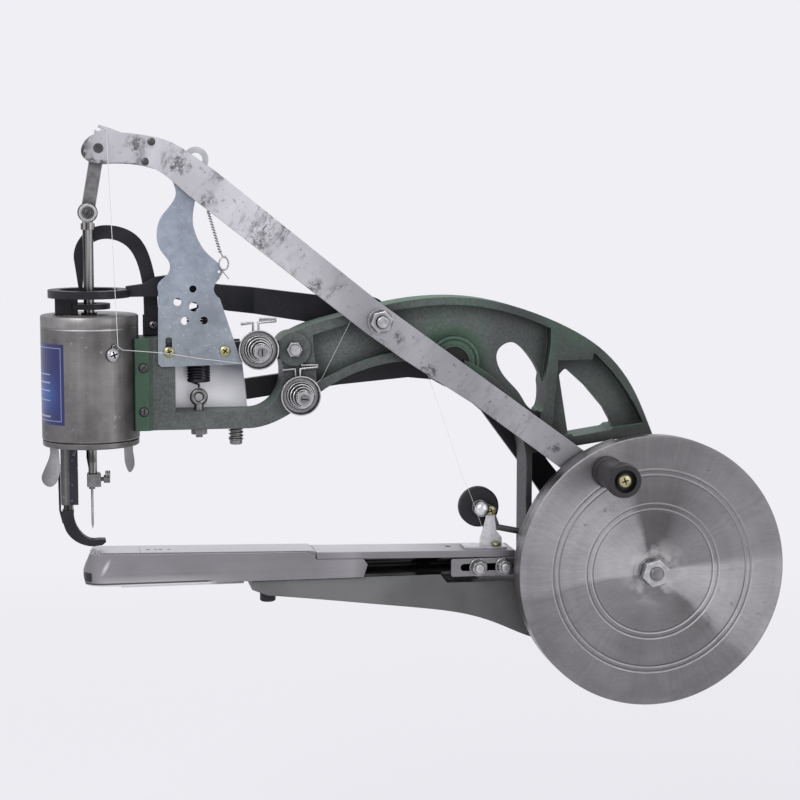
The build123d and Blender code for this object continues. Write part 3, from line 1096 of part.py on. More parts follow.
for which, seat in (("upper", UPPER_SEAT), ("lower", LOWER_SEAT)):
    with BuildPart() as hook:
        thread_hook(TENSIONS[which], seat)
    save(hook, f"{which}_thread_hook")
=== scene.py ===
"""Hand-cranked leather patching machine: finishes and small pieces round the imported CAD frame."""
import json
import math
from functools import reduce

import bmesh
import bpy
from bpy.props import FloatProperty, FloatVectorProperty, IntProperty, PointerProperty
from mathutils import Matrix, Vector


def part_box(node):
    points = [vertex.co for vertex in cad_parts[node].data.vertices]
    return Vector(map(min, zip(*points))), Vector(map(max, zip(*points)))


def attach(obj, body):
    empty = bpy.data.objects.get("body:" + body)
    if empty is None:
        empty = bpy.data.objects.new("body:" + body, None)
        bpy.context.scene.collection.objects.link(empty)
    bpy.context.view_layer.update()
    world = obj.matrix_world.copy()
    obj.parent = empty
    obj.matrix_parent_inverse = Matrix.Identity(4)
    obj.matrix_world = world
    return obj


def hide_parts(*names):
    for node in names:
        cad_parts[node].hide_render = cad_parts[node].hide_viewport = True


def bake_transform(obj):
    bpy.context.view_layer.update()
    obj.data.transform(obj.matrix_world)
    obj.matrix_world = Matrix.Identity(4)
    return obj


bl_info = {
    "name": "Leather Patching Machine",
    "version": (1, 0, 0),
    "blender": (4, 5, 0),
    "location": "3D View > Sidebar > Patcher",
    "description": "Finishes, springs, screws and thread of a hand-cranked leather patching machine",
    "category": "Object",
}

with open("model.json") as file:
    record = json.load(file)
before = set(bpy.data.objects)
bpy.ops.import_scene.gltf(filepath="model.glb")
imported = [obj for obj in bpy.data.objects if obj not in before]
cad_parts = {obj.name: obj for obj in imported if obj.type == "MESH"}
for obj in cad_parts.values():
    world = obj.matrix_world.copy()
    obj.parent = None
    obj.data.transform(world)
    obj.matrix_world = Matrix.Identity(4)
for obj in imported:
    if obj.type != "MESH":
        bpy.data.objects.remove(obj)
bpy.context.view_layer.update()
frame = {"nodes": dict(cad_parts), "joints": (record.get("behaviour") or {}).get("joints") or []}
NODES = frame["nodes"]
JOINTS = {j["name"]: Vector(j.get("pos_m", (0, 0, 0))) for j in frame["joints"]}
MM = 0.001
TOWARD = Vector((0, -1, 0))     # toward the operator
UP = Vector((0, 0, 1))
RIGHT = Vector((1, 0, 0))
# places and sizes in millimetres
SEAM_Z = 252.3          # joint between the barrel and the rotor's lid
LID_Z = 260.4           # top of the rotor's lid
LINK_EYE_Z = 332.4      # needle link's lower eye
BARREL_R = 34.5         # half width of the barrel
WEB_FRONT_Y = -12.0     # front face of the casting round the feed pivot
PAD_FRONT_Y = -18.0     # front face of the clamp block
CONE_LENGTH = 15.2      # length of a tension's cone spring
GUIDE_SCREW_X, GUIDE_SCREW_Z = -389.5, 233.9
HORN_TOP_X, HORN_TOP_FALL = -371.0, 0.0209      # where the horn's top plate starts to fall, and how much
THREAD_HOOK = (-390.2, -10.6, 388.0)    # where the thread leaves the needle lever
THREAD_GUIDE = (-385.6, -36.2, 240.0)   # where it passes the barrel's guide


def mm(x, y, z):
    """Point of the machine's frame given in millimetres."""
    return Vector((x, y, z)) * MM


def low(node):
    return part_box(node)[0] / MM


def high(node):
    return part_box(node)[1] / MM


# --- what a user may change ---------------------------------------------------


def colour(name, text, value):
    return FloatVectorProperty(name=name, description=text, default=value, subtype="COLOR", size=3,
                               min=0.0, max=1.0)


def length(name, text, value):
    return FloatProperty(name=name, description=text, default=value * MM, subtype="DISTANCE",
                         unit="LENGTH", min=0.0)


def power(name, text, value):
    return FloatProperty(name=name, description=text, default=value, min=0.0)


class PatcherColours(bpy.types.PropertyGroup):
    """Colours of the finishes."""

    paint_grey: colour("Paint grey", "Sandy paint on the casting's faces", (0.125, 0.136, 0.134))
    paint_green: colour("Paint green", "Green showing on rims and bosses", (0.048, 0.112, 0.07))
    lever: colour("Lever steel", "Scuffed bright bar", (0.315, 0.313, 0.33))
    lever_stain: colour("Lever stain", "Oil marks on the bar", (0.055, 0.054, 0.056))
    barrel: colour("Barrel steel", "Turned head barrel", (0.17, 0.164, 0.162))
    wheel: colour("Wheel steel", "Turned flywheel face", (0.226, 0.219, 0.225))
    plate: colour("Guide plate", "Galvanised sheet", (0.325, 0.362, 0.43))
    horn: colour("Horn steel", "Ground steel of the horn", (0.245, 0.234, 0.248))
    bright: colour("Bright steel", "Nuts, washers and hooks", (0.34, 0.335, 0.345))
    black: colour("Black steel", "Blackened levers and springs", (0.012, 0.012, 0.015))
    gold: colour("Yellow zinc", "Passivated screws", (0.4, 0.37, 0.2))
    grip: colour("Grip", "Moulded crank grip", (0.024, 0.022, 0.025))
    rubber: colour("Rubber", "Winder's friction wheel", (0.018, 0.018, 0.021))
    label: colour("Label", "Plain label on the barrel", (0.012, 0.018, 0.112))
    thread: colour("Thread", "Sewing thread", (0.8, 0.8, 0.8))


class PatcherSizes(bpy.types.PropertyGroup):
    """Sizes of the small pieces."""

    thread: length("Thread", "Thickness of the sewing thread", 0.45)
    return_wire: length("Return spring wire", "Wire of the return spring", 1.7)
    cone_wire: length("Tension spring wire", "Wire of the cone springs", 1.1)
    plate_screw: length("Plate screw", "Head radius of the guide plate's screws", 3.9)
    guide_screw: length("Guide screw", "Head radius of the thread guide screw", 5.0)
    nut: length("Nut", "Corner radius of the slotted plate's nuts", 5.9)
    cone_turns: IntProperty(name="Cone turns", description="Turns of each tension spring", default=4,
                            min=2, max=12)


class PatcherStage(bpy.types.PropertyGroup):
    """Camera, lamps and floor."""

    lens: FloatProperty(name="Lens", description="Focal length on a 36 mm sensor", default=94.5,
                        min=10.0, unit="CAMERA")
    key: power("Key lamp", "Power of the key lamp", 17.0)
    fill: power("Fill lamp", "Power of the fill lamp", 7.0)
    top: power("Top lamp", "Power of the top lamp", 12.0)
    room: power("Room light", "Strength of the room's light", 0.45)
    floor: length("Floor drop", "Depth of the floor below the stand foot", 230.0)
    backdrop: colour("Backdrop", "Colour of floor and background", (0.872, 0.864, 0.906))


def colours():
    return bpy.context.scene.patcher_colours


def sizes():
    return bpy.context.scene.patcher_sizes


# --- node trees ------------------------------------------------------------------


class Signal:
    """Output of a node, which sums and products can be written with."""

    def __init__(self, owner, socket):
        self.owner, self.socket = owner, socket

    def __add__(self, other):
        return self.owner.math("ADD", self, other)

    def __sub__(self, other):
        return self.owner.math("SUBTRACT", self, other)

    def __rsub__(self, other):
        return self.owner.math("SUBTRACT", other, self)

    def __mul__(self, other):
        return self.owner.math("MULTIPLY", self, other)

    def __truediv__(self, other):
        return self.owner.math("DIVIDE", self, other)

    def __abs__(self):
        return self.owner.math("ABSOLUTE", self)

    def span(self, a, b, c=0.0, d=1.0):
        """a..b mapped to c..d and clamped."""
        node = self.owner.add("ShaderNodeMapRange")
        out = self.owner.feed(node, Value=self, From_Min=a, From_Max=b, To_Min=c, To_Max=d)
        return Signal(self.owner, out["Result"])

    def band(self, a, b, c, d):
        """0 to 1 over a..b and back to 0 over c..d."""
        return self.span(a, b) * self.span(c, d)

    def vary(self, lowest, highest):
        """The middle of a noise's range mapped to lowest..highest."""
        return self.span(0.3, 0.7, lowest, highest)


class Tree:
    """A node tree, with short words for what goes into it."""

    def __init__(self, tree):
        self.tree = tree

    def add(self, kind, **settings):
        node = self.tree.nodes.new(kind)
        for key, value in settings.items():
            setattr(node, key, value)
        return node

    def put(self, value, socket):
        """A signal, a socket, a number or a colour into an input."""
        if isinstance(value, Signal):
            value = value.socket
        if isinstance(value, bpy.types.NodeSocket):
            self.tree.links.new(value, socket)
        elif isinstance(value, (int, float)):
            socket.default_value = (value, value, value, 1.0) if socket.type == "RGBA" else value
        else:
            socket.default_value = (*value, 1.0)[:4] if socket.type == "RGBA" else value

    def feed(self, node, **inputs):
        """Values into a node's inputs by their names; the node's outputs come back."""
        for key, value in inputs.items():
            self.put(value, node.inputs[key.replace("_", " ")])
        return node.outputs

    def math(self, operation, a, b=0.0):
        node = self.add("ShaderNodeMath", operation=operation)
        self.put(a, node.inputs[0])
        self.put(b, node.inputs[1])
        return Signal(self, node.outputs[0])

    def most(self, *values):
        return reduce(lambda a, b: self.math("MAXIMUM", a, b), values)

    def least(self, *values):
        return reduce(lambda a, b: self.math("MINIMUM", a, b), values)

    def blended(self, share, first, second, socket):
        """Two shader nodes mixed into an input."""
        blend = self.add("ShaderNodeMixShader")
        for value, place in zip((share, first.outputs[0], second.outputs[0]), blend.inputs):
            self.put(value, place)
        self.put(blend.outputs[0], socket)


class Finish(Tree):
    """A material whose colour is built up from a base with over() and by()."""

    def __init__(self, name, base, roughness=0.4, metallic=0.0, **constants):
        self.material = bpy.data.materials.new(name)
        self.material.use_nodes = True
        super().__init__(self.material.node_tree)
        self.base = base
        self.shader = self.tree.nodes["Principled BSDF"]
        self.feed(self.shader, Base_Color=base, Roughness=roughness, Metallic=metallic, **constants)
        self.place = self.add("ShaderNodeTexCoord").outputs["Object"]

    def set(self, name, value):
        self.put(value, self.shader.inputs[name])

    def rough(self, noise, lowest, highest):
        self.set("Roughness", noise.vary(lowest, highest))

    def over(self, amount, colour):
        """A colour laid over what is there."""
        self.base = self.mix(amount, self.base, colour)

    def by(self, factor):
        """The colour so far, times a factor."""
        self.base = self.times(self.base, factor)

    def stretched(self, scale, turn=(0, 0, 0)):
        """Object coordinates, turned and then scaled apart along each axis."""
        spin = self.feed(self.add("ShaderNodeMapping"), Vector=self.place, Rotation=turn)
        return self.feed(self.add("ShaderNodeMapping"), Vector=spin[0], Scale=scale)[0]

    def noise(self, scale, detail=2.0, rough=0.5, vector=None):
        node = self.add("ShaderNodeTexNoise")
        out = self.feed(node, Vector=vector or self.place, Scale=scale, Detail=detail, Roughness=rough)
        return Signal(self, out["Fac"])

    def line_noise(self, value, scale, detail=2.0):
        """Noise along one value."""
        node = self.add("ShaderNodeTexNoise", noise_dimensions="1D")
        return Signal(self, self.feed(node, W=value, Scale=scale, Detail=detail)["Fac"])

    def mix(self, factor, a, b, blend="MIX"):
        node = self.add("ShaderNodeMix", data_type="RGBA", blend_type=blend)
        self.put(factor, node.inputs["Factor"])
        self.put(a, node.inputs[6])
        self.put(b, node.inputs[7])
        return node.outputs[2]

    def times(self, colour, factor):
        return self.mix(1.0, colour, factor, "MULTIPLY")

    def axes(self, vector=None):
        """x, y and z of a vector, or of the place on the object."""
        node = self.add("ShaderNodeSeparateXYZ")
        self.put(vector or self.place, node.inputs[0])
        return [Signal(self, socket) for socket in node.outputs]

    def facing(self):
        """x, y and z of the surface's normal."""
        return self.axes(self.add("ShaderNodeNewGeometry").outputs["Normal"])

    def softened(self, radius):
        """Normal that rounds the edges."""
        return self.feed(self.add("ShaderNodeBevel", samples=4), Radius=radius)[0]

    def edges(self, radius, lowest=0.8, highest=0.97):
        """1 on sharp edges, 0 on flats."""
        dot = self.add("ShaderNodeVectorMath", operation="DOT_PRODUCT")
        self.put(self.softened(radius), dot.inputs[0])
        self.put(self.add("ShaderNodeNewGeometry").outputs["Normal"], dot.inputs[1])
        return Signal(self, dot.outputs["Value"]).span(lowest, highest, 1.0, 0.0)

    def reach(self, x, z, centre):
        """Distance from centre in the wheel's plane."""
        across, above = x - centre.x, z - centre.z
        return self.math("SQRT", across * across + above * above)

    def hollows(self, distance, most):
        """Painted shade: share of the surroundings that closes over a point, up to most."""
        closed = self.feed(self.add("ShaderNodeAmbientOcclusion", samples=6), Distance=distance)
        return Signal(self, closed["AO"]).span(0.95, 0.35, 0.0, 2.0 * most)

    def graded(self, value, stops):
        """Levels, which may pass 1, at places from 0 to 1 of a value."""
        node = self.add("ShaderNodeValToRGB")
        self.put(value, node.inputs[0])
        elements = node.color_ramp.elements
        while len(elements) < len(stops):
            elements.new(0.5)
        for element, (place, level) in zip(elements, stops):
            element.position = place
            element.color = (level, level, level, 1.0)
        return Signal(self, node.outputs[0])

    def relief(self, heights, strength, distance=0.0002, bevel=0.0, flatten=None):
        """The finished material, with bump from height signals over softened edges when bevel is
        given; flatten is how far the front's slopes are shaded as flat."""
        normal = self.softened(bevel) if bevel else None
        if flatten:
            lean = self.add("ShaderNodeMix", data_type="VECTOR")
            self.put(flatten, lean.inputs["Factor"])
            self.put(normal, lean.inputs[4])
            self.put(TOWARD, lean.inputs[5])
            unit = self.add("ShaderNodeVectorMath", operation="NORMALIZE")
            self.put(lean.outputs[1], unit.inputs[0])
            normal = unit.outputs[0]
        for height in heights:
            bump = self.add("ShaderNodeBump")
            if normal:
                self.put(normal, bump.inputs["Normal"])
            normal = self.feed(bump, Strength=strength, Distance=distance, Height=height)[0]
        self.set("Normal", normal)
        self.set("Base Color", self.base)
        return self.material


def made(finish):
    """The material of a finish, which is a function below or the name of a row in PLAIN."""
    name = "patcher_" + (finish if isinstance(finish, str) else finish.__name__)
    known = bpy.data.materials.get(name)
    if known:
        return known
    if callable(finish):
        return finish(name)
    kind, base, *rest = PLAIN[finish]
    return kind(name, getattr(colours(), base) if isinstance(base, str) else base, *rest)


# --- finishes: places are metres in the machine's frame --------------------------------


def casting_paint(name):
    """Sandy grey paint, green on top edges, the clamp block and the bosses; painted shade on walls and
    hollows, painted rim highlights.
    """
    c = colours()
    f = Finish(name, c.paint_grey, 0.55, Specular_IOR_Level=0.35)
    facing = f.facing()
    x, y, z = f.axes()
    broad = f.noise(24.0, 3.0)
    sand = f.noise(560.0, 3.0, 0.75)
    side = abs(facing[1]).span(0.75, 0.45)
    upward = facing[2].span(0.1, 0.45)
    # where the green shows
    reach = f.reach(x, z, JOINTS["feed_lever_swing"])
    ring = reach.band(0.03, 0.024, 0.006, 0.01)
    block = x.span(-0.3602, -0.364) * z.span(0.165, 0.172)
    top = upward * side * z.span(0.15, 0.175)
    edge = f.edges(0.002, 0.9, 0.99)
    edge = edge * facing[2].span(-0.3, 0.2) * z.span(0.17, 0.2) * x.span(-0.24, -0.2)
    haze = broad.span(0.42, 0.66) * z.span(0.17, 0.23, 0.0, 0.42) * x.span(-0.225, -0.17, 0.2)
    arm = x.span(-0.205, -0.23) * (1.0 - block)
    green = f.most(ring * 0.75, block, top * (1.0 - arm * 0.6), edge * 0.8, haze)
    # tones
    web = f.times(c.paint_grey, sand.vary(0.62, 1.4))
    web = f.mix(abs(y).span(0.0138, 0.0146), web, f.times(web, 0.66))
    # painted shade on the column's left wall and toward the arch's right end
    column_shade = x.span(-0.112, -0.102) * z.band(0.172, 0.16, 0.07, 0.08)
    shade = x.span(-0.145, -0.085) * z.span(0.15, 0.175)
    web = f.times(web, 1.0 - f.most(column_shade * 0.8, shade * 0.5))
    f.base = f.mix(green, web, f.times(c.paint_green, sand.vary(0.85, 1.15)))
    f.over(block * 0.26, (0.022, 0.03, 0.02))
    # painted shade on the side walls, which face neither front nor back
    f.over(side * (1.0 - upward) * 0.8, (0.026, 0.028, 0.032))
    smooth_grey = f.mix(x.span(-0.2, -0.1), 0.15, (0.085, 0.083, 0.086))
    f.over(z.span(0.074, 0.062) * 0.85, smooth_grey)
    f.by(broad.span(0.32, 0.6, 0.8, 1.12))
    # painted highlight along the rims, broken up by noise
    rim_highlight = f.edges(0.0012) * f.noise(90.0, 3.0).span(0.36, 0.56)
    f.over(rim_highlight * 0.5, (0.32, 0.35, 0.33))
    # painted shade in the hollows
    f.over(f.hollows(0.018, 0.45), f.times(f.base, 0.25))
    f.rough(sand, 0.4, 0.62)
    return f.relief([sand, f.noise(260.0)], 0.55, distance=0.0003, bevel=0.0016)


OIL_SPOTS = ((-0.3995, 0.3675, 0.007), (-0.3935, 0.3668, 0.006), (-0.1975, 0.2345, 0.009),
             (-0.185, 0.242, 0.006), (-0.32, 0.34, 0.01), (-0.342, 0.366, 0.011),
             (-0.37, 0.38, 0.012), (-0.285, 0.312, 0.012), (-0.164, 0.217, 0.009),
             (-0.245, 0.28, 0.009), (-0.07, 0.16, 0.006))


def lever_steel(name):
    """Bright bar with oil stains, scuffs and fine lengthwise scratches; painted light and shade along it
    and painted shade on its edges.
    """
    c = colours()
    f = Finish(name, c.lever, 0.36, 0.9)
    along = (0.0, math.radians(-36.0), 0.0)
    x, _, z = f.axes()
    bar = f.stretched((1.0, 1.0, 0.38), along)
    cloud = f.noise(17.0, 4.0, 0.62, bar)
    region = f.noise(40.0, 3.0, 0.6, bar).span(0.49, 0.6)
    grains = f.noise(230.0, 6.0, 0.8, bar).span(0.46, 0.55)
    speck = f.noise(330.0).span(0.67, 0.72)
    near = 0.0
    ragged = f.noise(130.0, 4.0, 0.7)
    for px, pz, size in OIL_SPOTS:
        away = f.reach(x, z, Vector((px, 0, pz)))
        near = f.most(near, (ragged * (2.0 * size) + away).span(1.75 * size, 1.35 * size))
    smear = f.noise(330.0, 5.0, 0.8).span(0.44, 0.52, 0.12)
    region = region * x.span(-0.24, -0.19, 1.0, 0.35)
    stain = f.most(grains * region, near * smear)
    marks = f.least(stain * 0.78 + speck * 0.45, 1.0)
    # painted light and shade: bright and dark bands along the bar
    tone = f.graded(x.span(-0.41, -0.02), (
        (0.0, 1.0), (0.06, 1.45), (0.2, 1.8), (0.32, 1.85), (0.41, 1.6), (0.47, 1.05), (0.52, 0.9),
        (0.6, 1.2), (0.7, 0.88), (0.8, 1.08), (0.9, 0.84), (1.0, 0.62)))
    f.by(tone)
    f.by(cloud.span(0.32, 0.68, 0.8, 1.16))
    f.over(marks, c.lever_stain)
    # painted shade along the edges, broken up by noise
    edge_shade = f.edges(0.0007) * f.noise(60.0).span(0.35, 0.6)
    nose = x.span(-0.3985, -0.4055) * z.span(0.384, 0.374, 0.5)
    f.over(nose * f.noise(220.0, 3.0).span(0.4, 0.52, 0.25, 0.95), c.lever_stain)
    f.over(edge_shade * 0.6, (0.12, 0.12, 0.125))
    f.set("Roughness", cloud.vary(0.3, 0.46) + marks * 0.2)
    scratch = f.noise(420.0, 2.0, 0.6, f.stretched((0.07, 1.0, 1.0), along))
    slope = f.facing()[1].span(-0.5, -0.58) * x.band(-0.372, -0.366, -0.344, -0.35)
    return f.relief([scratch], 0.14, bevel=0.0007, flatten=slope * 0.9)


def turned_barrel(name):
    """Round-turned grey steel, stained, with painted shade toward its sides; the ring's ears are paler."""
    f = Finish(name, colours().barrel, 0.42, 0.9)
    rings = f.noise(1.0, 2.0, 0.5, f.stretched((30.0, 30.0, 2600.0)))
    streak = f.noise(1.0, 3.0, 0.6, f.stretched((170.0, 170.0, 9.0)))
    cloud = f.noise(38.0, 4.0, 0.65)
    x, _, z = f.axes()
    across = (x - (JOINTS["head_turn"].x - 0.002)) / (BARREL_R * MM)
    away = across * across
    # painted shade: darker toward the barrel's sides
    sides = away.span(0.25, 1.0, 1.06, 0.5) * z.span(0.2519, 0.2527, 1.0, 1.5)
    smudge = f.noise(17.0, 3.0, 0.55).span(0.4, 0.62, 0.72, 1.12)
    tone = cloud.span(0.32, 0.66, 0.76, 1.18) * rings.vary(0.94, 1.06)
    tone = tone * smudge * streak.vary(0.9, 1.1) * sides
    f.by(tone)
    nick = f.noise(240.0, 3.0, 0.6).span(0.665, 0.71)
    f.over(nick * 0.5, (0.4, 0.39, 0.39))
    seam = abs(z - 0.2513).span(0.0006, 0.0003) * away.span(0.55, 0.2)
    glint = f.most(f.edges(0.0007) * f.noise(46.0).span(0.35, 0.55), seam)
    f.over(glint * 0.75, (0.58, 0.57, 0.57))
    f.over(z.span(0.1672, 0.166), f.times((0.33, 0.33, 0.335), tone))
    f.rough(cloud, 0.34, 0.5)
    return f.relief([rings], 0.1, bevel=0.0006)


def turned_wheel(name):
    """Faced steel: concentric tool marks and broad painted fans of reflected light and shade."""
    f = Finish(name, colours().wheel, 0.38, 0.9, Anisotropic=0.5)
    axis = JOINTS["flywheel_turn"]
    x, _, z = f.axes()
    reach = f.reach(x, z, axis)
    cloud = f.noise(34.0, 4.0, 0.6)
    angle = f.math("ARCTAN2", z - axis.z, x - axis.x) + (cloud - 0.5) * 0.22
    # painted reflection: bright and dark fans round the axis
    reflection_fans = f.graded(angle.span(-math.pi, math.pi), (
        (0.0, 1.26), (0.018, 1.24), (0.03, 0.98), (0.16, 0.95), (0.27, 0.92), (0.36, 0.82),
        (0.375, 0.84), (0.395, 1.2), (0.46, 1.26), (0.508, 1.26), (0.525, 0.95), (0.6, 0.98),
        (0.66, 0.9), (0.7, 0.76), (0.785, 0.78), (0.805, 1.1), (0.88, 1.22), (1.0, 1.26)))
    fan = (reflection_fans - 1.0) * reach.span(0.035, 0.085, 2.3, 1.15) + 1.0
    fine = f.line_noise(angle, 26.0, 4.0)
    marks = f.line_noise(reach, 2400.0)
    band = f.line_noise(reach, 60.0)
    tone = fine.vary(0.95, 1.05) * marks.vary(0.93, 1.07)
    brushed = f.noise(1.0, 3.0, 0.7, f.stretched((120.0, 10.0, 1500.0)))
    tone = tone * band.vary(0.93, 1.07) * cloud.vary(0.86, 1.12) * brushed.vary(0.93, 1.07)
    f.by(tone * fan)
    speck = f.noise(150.0, 4.0, 0.7).span(0.62, 0.7) * f.noise(16.0, 1.0).span(0.52, 0.6)
    f.over(speck * 0.5, 0.07)
    hub = reach.span(0.027, 0.014) * f.noise(80.0, 4.0).span(0.44, 0.6)
    f.over(hub * 0.6, (0.5, 0.49, 0.49))
    worn = f.noise(14.0).span(0.36, 0.6, 0.35)
    for scribed in (0.0747, 0.0707, 0.0494, 0.0452):
        dark = abs(reach - scribed).span(0.0008, 0.0003)
        light = abs(reach - (scribed + 0.001)).span(0.0008, 0.0003)
        f.over(light * worn * 0.65, (0.62, 0.61, 0.62))
        f.over(dark * worn * 0.75, 0.05)
    # painted highlight along the edges
    f.over(f.edges(0.0008) * 0.5, (0.5, 0.49, 0.5))
    f.rough(cloud, 0.32, 0.46)
    f.set("Tangent", f.add("ShaderNodeTangent", direction_type="RADIAL", axis="Y").outputs[0])
    return f.relief([marks], 0.1, bevel=0.0006)


def galvanised(name):
    """Bluish zinc sheet with a soft crystal pattern, handling marks and painted highlights along its edges.
    """
    f = Finish(name, colours().plate, 0.36, 0.8)
    crystal = f.feed(f.add("ShaderNodeTexVoronoi", feature="F1"), Vector=f.place, Scale=190.0)
    shade = f.axes(crystal["Color"])[0]
    z = f.axes()[2]
    cloud = f.noise(30.0, 4.0, 0.62)
    f.over(z.span(0.3, 0.24), (0.255, 0.285, 0.315))
    f.over(z.span(0.345, 0.358), (0.24, 0.265, 0.3))
    f.over(z.span(0.361, 0.369), (0.5, 0.51, 0.53))
    f.by(shade.span(0.0, 1.0, 0.93, 1.07) * cloud.span(0.32, 0.66, 0.8, 1.2))
    fleck = f.noise(430.0, 3.0, 0.6).span(0.61, 0.68) * cloud.span(0.4, 0.6, 0.35)
    f.over(fleck * 0.55, (0.62, 0.66, 0.7))
    # painted highlight along the edges
    f.over(f.edges(0.0006) * 0.45, (0.6, 0.63, 0.68))
    f.rough(cloud, 0.28, 0.44)
    return f.relief([cloud], 0.05, bevel=0.0004)


def guard_sheet(name):
    """Guard behind the spring: dark toward its top, with a painted reflection bright at its foot."""
    f = Finish(name, (0.165, 0.167, 0.195), 0.35, 0.8)
    x, _, z = f.axes()
    cloud = f.noise(30.0, 3.0)
    # painted reflection: pale toward the foot along a slanting line
    slope = z + (x + 0.31) * 0.45 + cloud * 0.012
    f.over(slope.span(0.23, 0.204), (0.9, 0.9, 0.92))
    f.rough(cloud, 0.28, 0.42)
    return f.relief([cloud], 0.05, bevel=0.0004)


def ground_horn(name):
    """Ground steel with lengthwise grinding lines; painted light and shade along it, painted highlights on
    the nose, top, edges and lower edge.
    """
    f = Finish(name, colours().horn, 0.36, 0.85)
    x, _, z = f.axes()
    lines = f.noise(1.0, 3.0, 0.6, f.stretched((16.0, 700.0, 900.0)))
    cloud = f.noise(20.0, 3.0)
    # painted light and shade in bands along the horn
    light_and_shade = f.graded(x.span(-0.41, -0.09), (
        (0.0, 0.92), (0.03, 1.25), (0.1, 1.12), (0.22, 1.06), (0.42, 0.86), (0.52, 0.92), (0.6, 1.3),
        (0.63, 0.95), (1.0, 0.85)))
    f.by(light_and_shade)
    f.by(cloud.vary(0.9, 1.1) * lines.vary(0.95, 1.05))
    dx, dz = x + 0.3958, z - 0.08      # middle of the long gleam on the nose
    lean = math.radians(62.0)
    along = dx * math.cos(lean) + dz * math.sin(lean)
    across = dz * math.cos(lean) - dx * math.sin(lean)
    gleam = f.math("SQRT", across * (across * 16.0) + along * along).span(0.0078, 0.001) * 0.85
    # painted shade in the notch at the nose
    notch_shade = x.span(-0.4052, -0.406) * z.band(0.0763, 0.0755, 0.069, 0.0696)
    # painted highlight on the upward faces
    f.over(f.facing()[2].span(0.6, 0.95) * x.span(-0.185, -0.125, 0.85, 0.15), (0.6, 0.6, 0.62))
    # painted highlight along the lower edge
    lip = z.span(0.0735, 0.069) * x.band(-0.404, -0.396, -0.3, -0.34)
    f.over(lip * 0.55, (0.5, 0.49, 0.5))
    f.over(notch_shade * 0.9, 0.02)
    # painted highlight on the lower lip, under the painted shadow
    low_lip_highlight = z.span(0.068, 0.0672) * x.span(-0.316, -0.322)
    shadow = z.band(0.0688, 0.0684, 0.0672, 0.0676) * x.span(-0.318, -0.324)
    f.over(f.most(gleam, low_lip_highlight * 0.8), (0.72, 0.72, 0.74))
    f.over(shadow * 0.85, 0.03)
    # painted highlight along the edges
    f.over(f.edges(0.0006, 0.75, 0.96) * 0.65, (0.62, 0.62, 0.63))
    f.rough(cloud, 0.3, 0.44)
    return f.relief([lines], 0.08, bevel=0.0005)


def dark_inside(name):
    """Near-black steel inside the horn, ground grey on its back; the post in its channel is painted as
    shade.
    """
    f = Finish(name, (0.014, 0.014, 0.015), 0.45, 0.5)
    cloud = f.noise(60.0, 3.0)
    f.over(cloud.span(0.35, 0.65), (0.034, 0.034, 0.035))
    back = f.facing()[1]
    grey = f.times(colours().horn, cloud.span(0.35, 0.65, 0.78, 1.05))
    x, y, _ = f.axes()
    # painted shade: the post is painted near black without sheen, so that the channel reads dark
    post = x.band(-0.172, -0.17, -0.15, -0.152)
    post = post * back.span(-0.4, -0.7) * y.span(0.0045, 0.0035)
    f.over(back.span(0.4, 0.7) * y.span(0.004, 0.008), grey)
    f.over(post, 0.004)
    for setting in ("Metallic", "Specular IOR Level"):
        f.set(setting, (1.0 - post) * 0.5)
    return f.relief([f.noise(400.0)], 0.2, distance=0.0004)


def machined(name, base, roughness, depth):
    """Small bright machined pieces, with painted highlights on their edges and painted shade in their
    corners.
    """
    f = Finish(name, base, roughness, 0.95)
    cloud = f.noise(190.0, 3.0, 0.6)
    f.by(cloud.span(0.32, 0.68, 0.74, 1.18))
    # painted highlight on the edges
    f.over(f.edges(0.0008) * 0.8, [min(0.9, 2.2 * v) for v in base])
    # painted shade in the corners and hollows
    f.over(f.hollows(0.0045, depth), [0.12 * v for v in base])
    f.rough(cloud, roughness - 0.06, roughness + 0.12)
    return f.relief([f.noise(900.0)], 0.1, distance=0.0001, bevel=0.0003)


def blackened(name):
    """Black levers: satin, with grey rubbing on the edges and dust."""
    c = colours()
    f = Finish(name, c.black, 0.42, 0.25, Specular_IOR_Level=0.3)
    cloud = f.noise(45.0, 4.0, 0.6)
    worn = f.edges(0.0007, 0.78, 0.97) * f.noise(120.0, 3.0).span(0.35, 0.6)
    f.over(cloud.span(0.35, 0.7), [2.0 * v for v in c.black])
    dust = f.noise(700.0).span(0.68, 0.76)
    f.over(dust * 0.3, 0.12)
    f.over(worn * 0.45, (0.15, 0.15, 0.16))
    f.rough(cloud, 0.34, 0.52)
    return f.relief([f.noise(420.0)], 0.16, bevel=0.0008)


def moulded(name, base, roughness, grain):
    """Plastic or rubber with a fine moulded skin and painted shade in its hollows."""
    f = Finish(name, base, roughness, Specular_IOR_Level=0.3)
    cloud = f.noise(70.0, 3.0)
    f.by(cloud.vary(0.82, 1.25))
    # painted shade in the hollows
    f.over(f.hollows(0.006, 0.5), [0.1 * v for v in base])
    f.rough(cloud, roughness - 0.05, roughness + 0.08)
    return f.relief([f.noise(grain)], 0.25, distance=0.00015, bevel=0.0006)


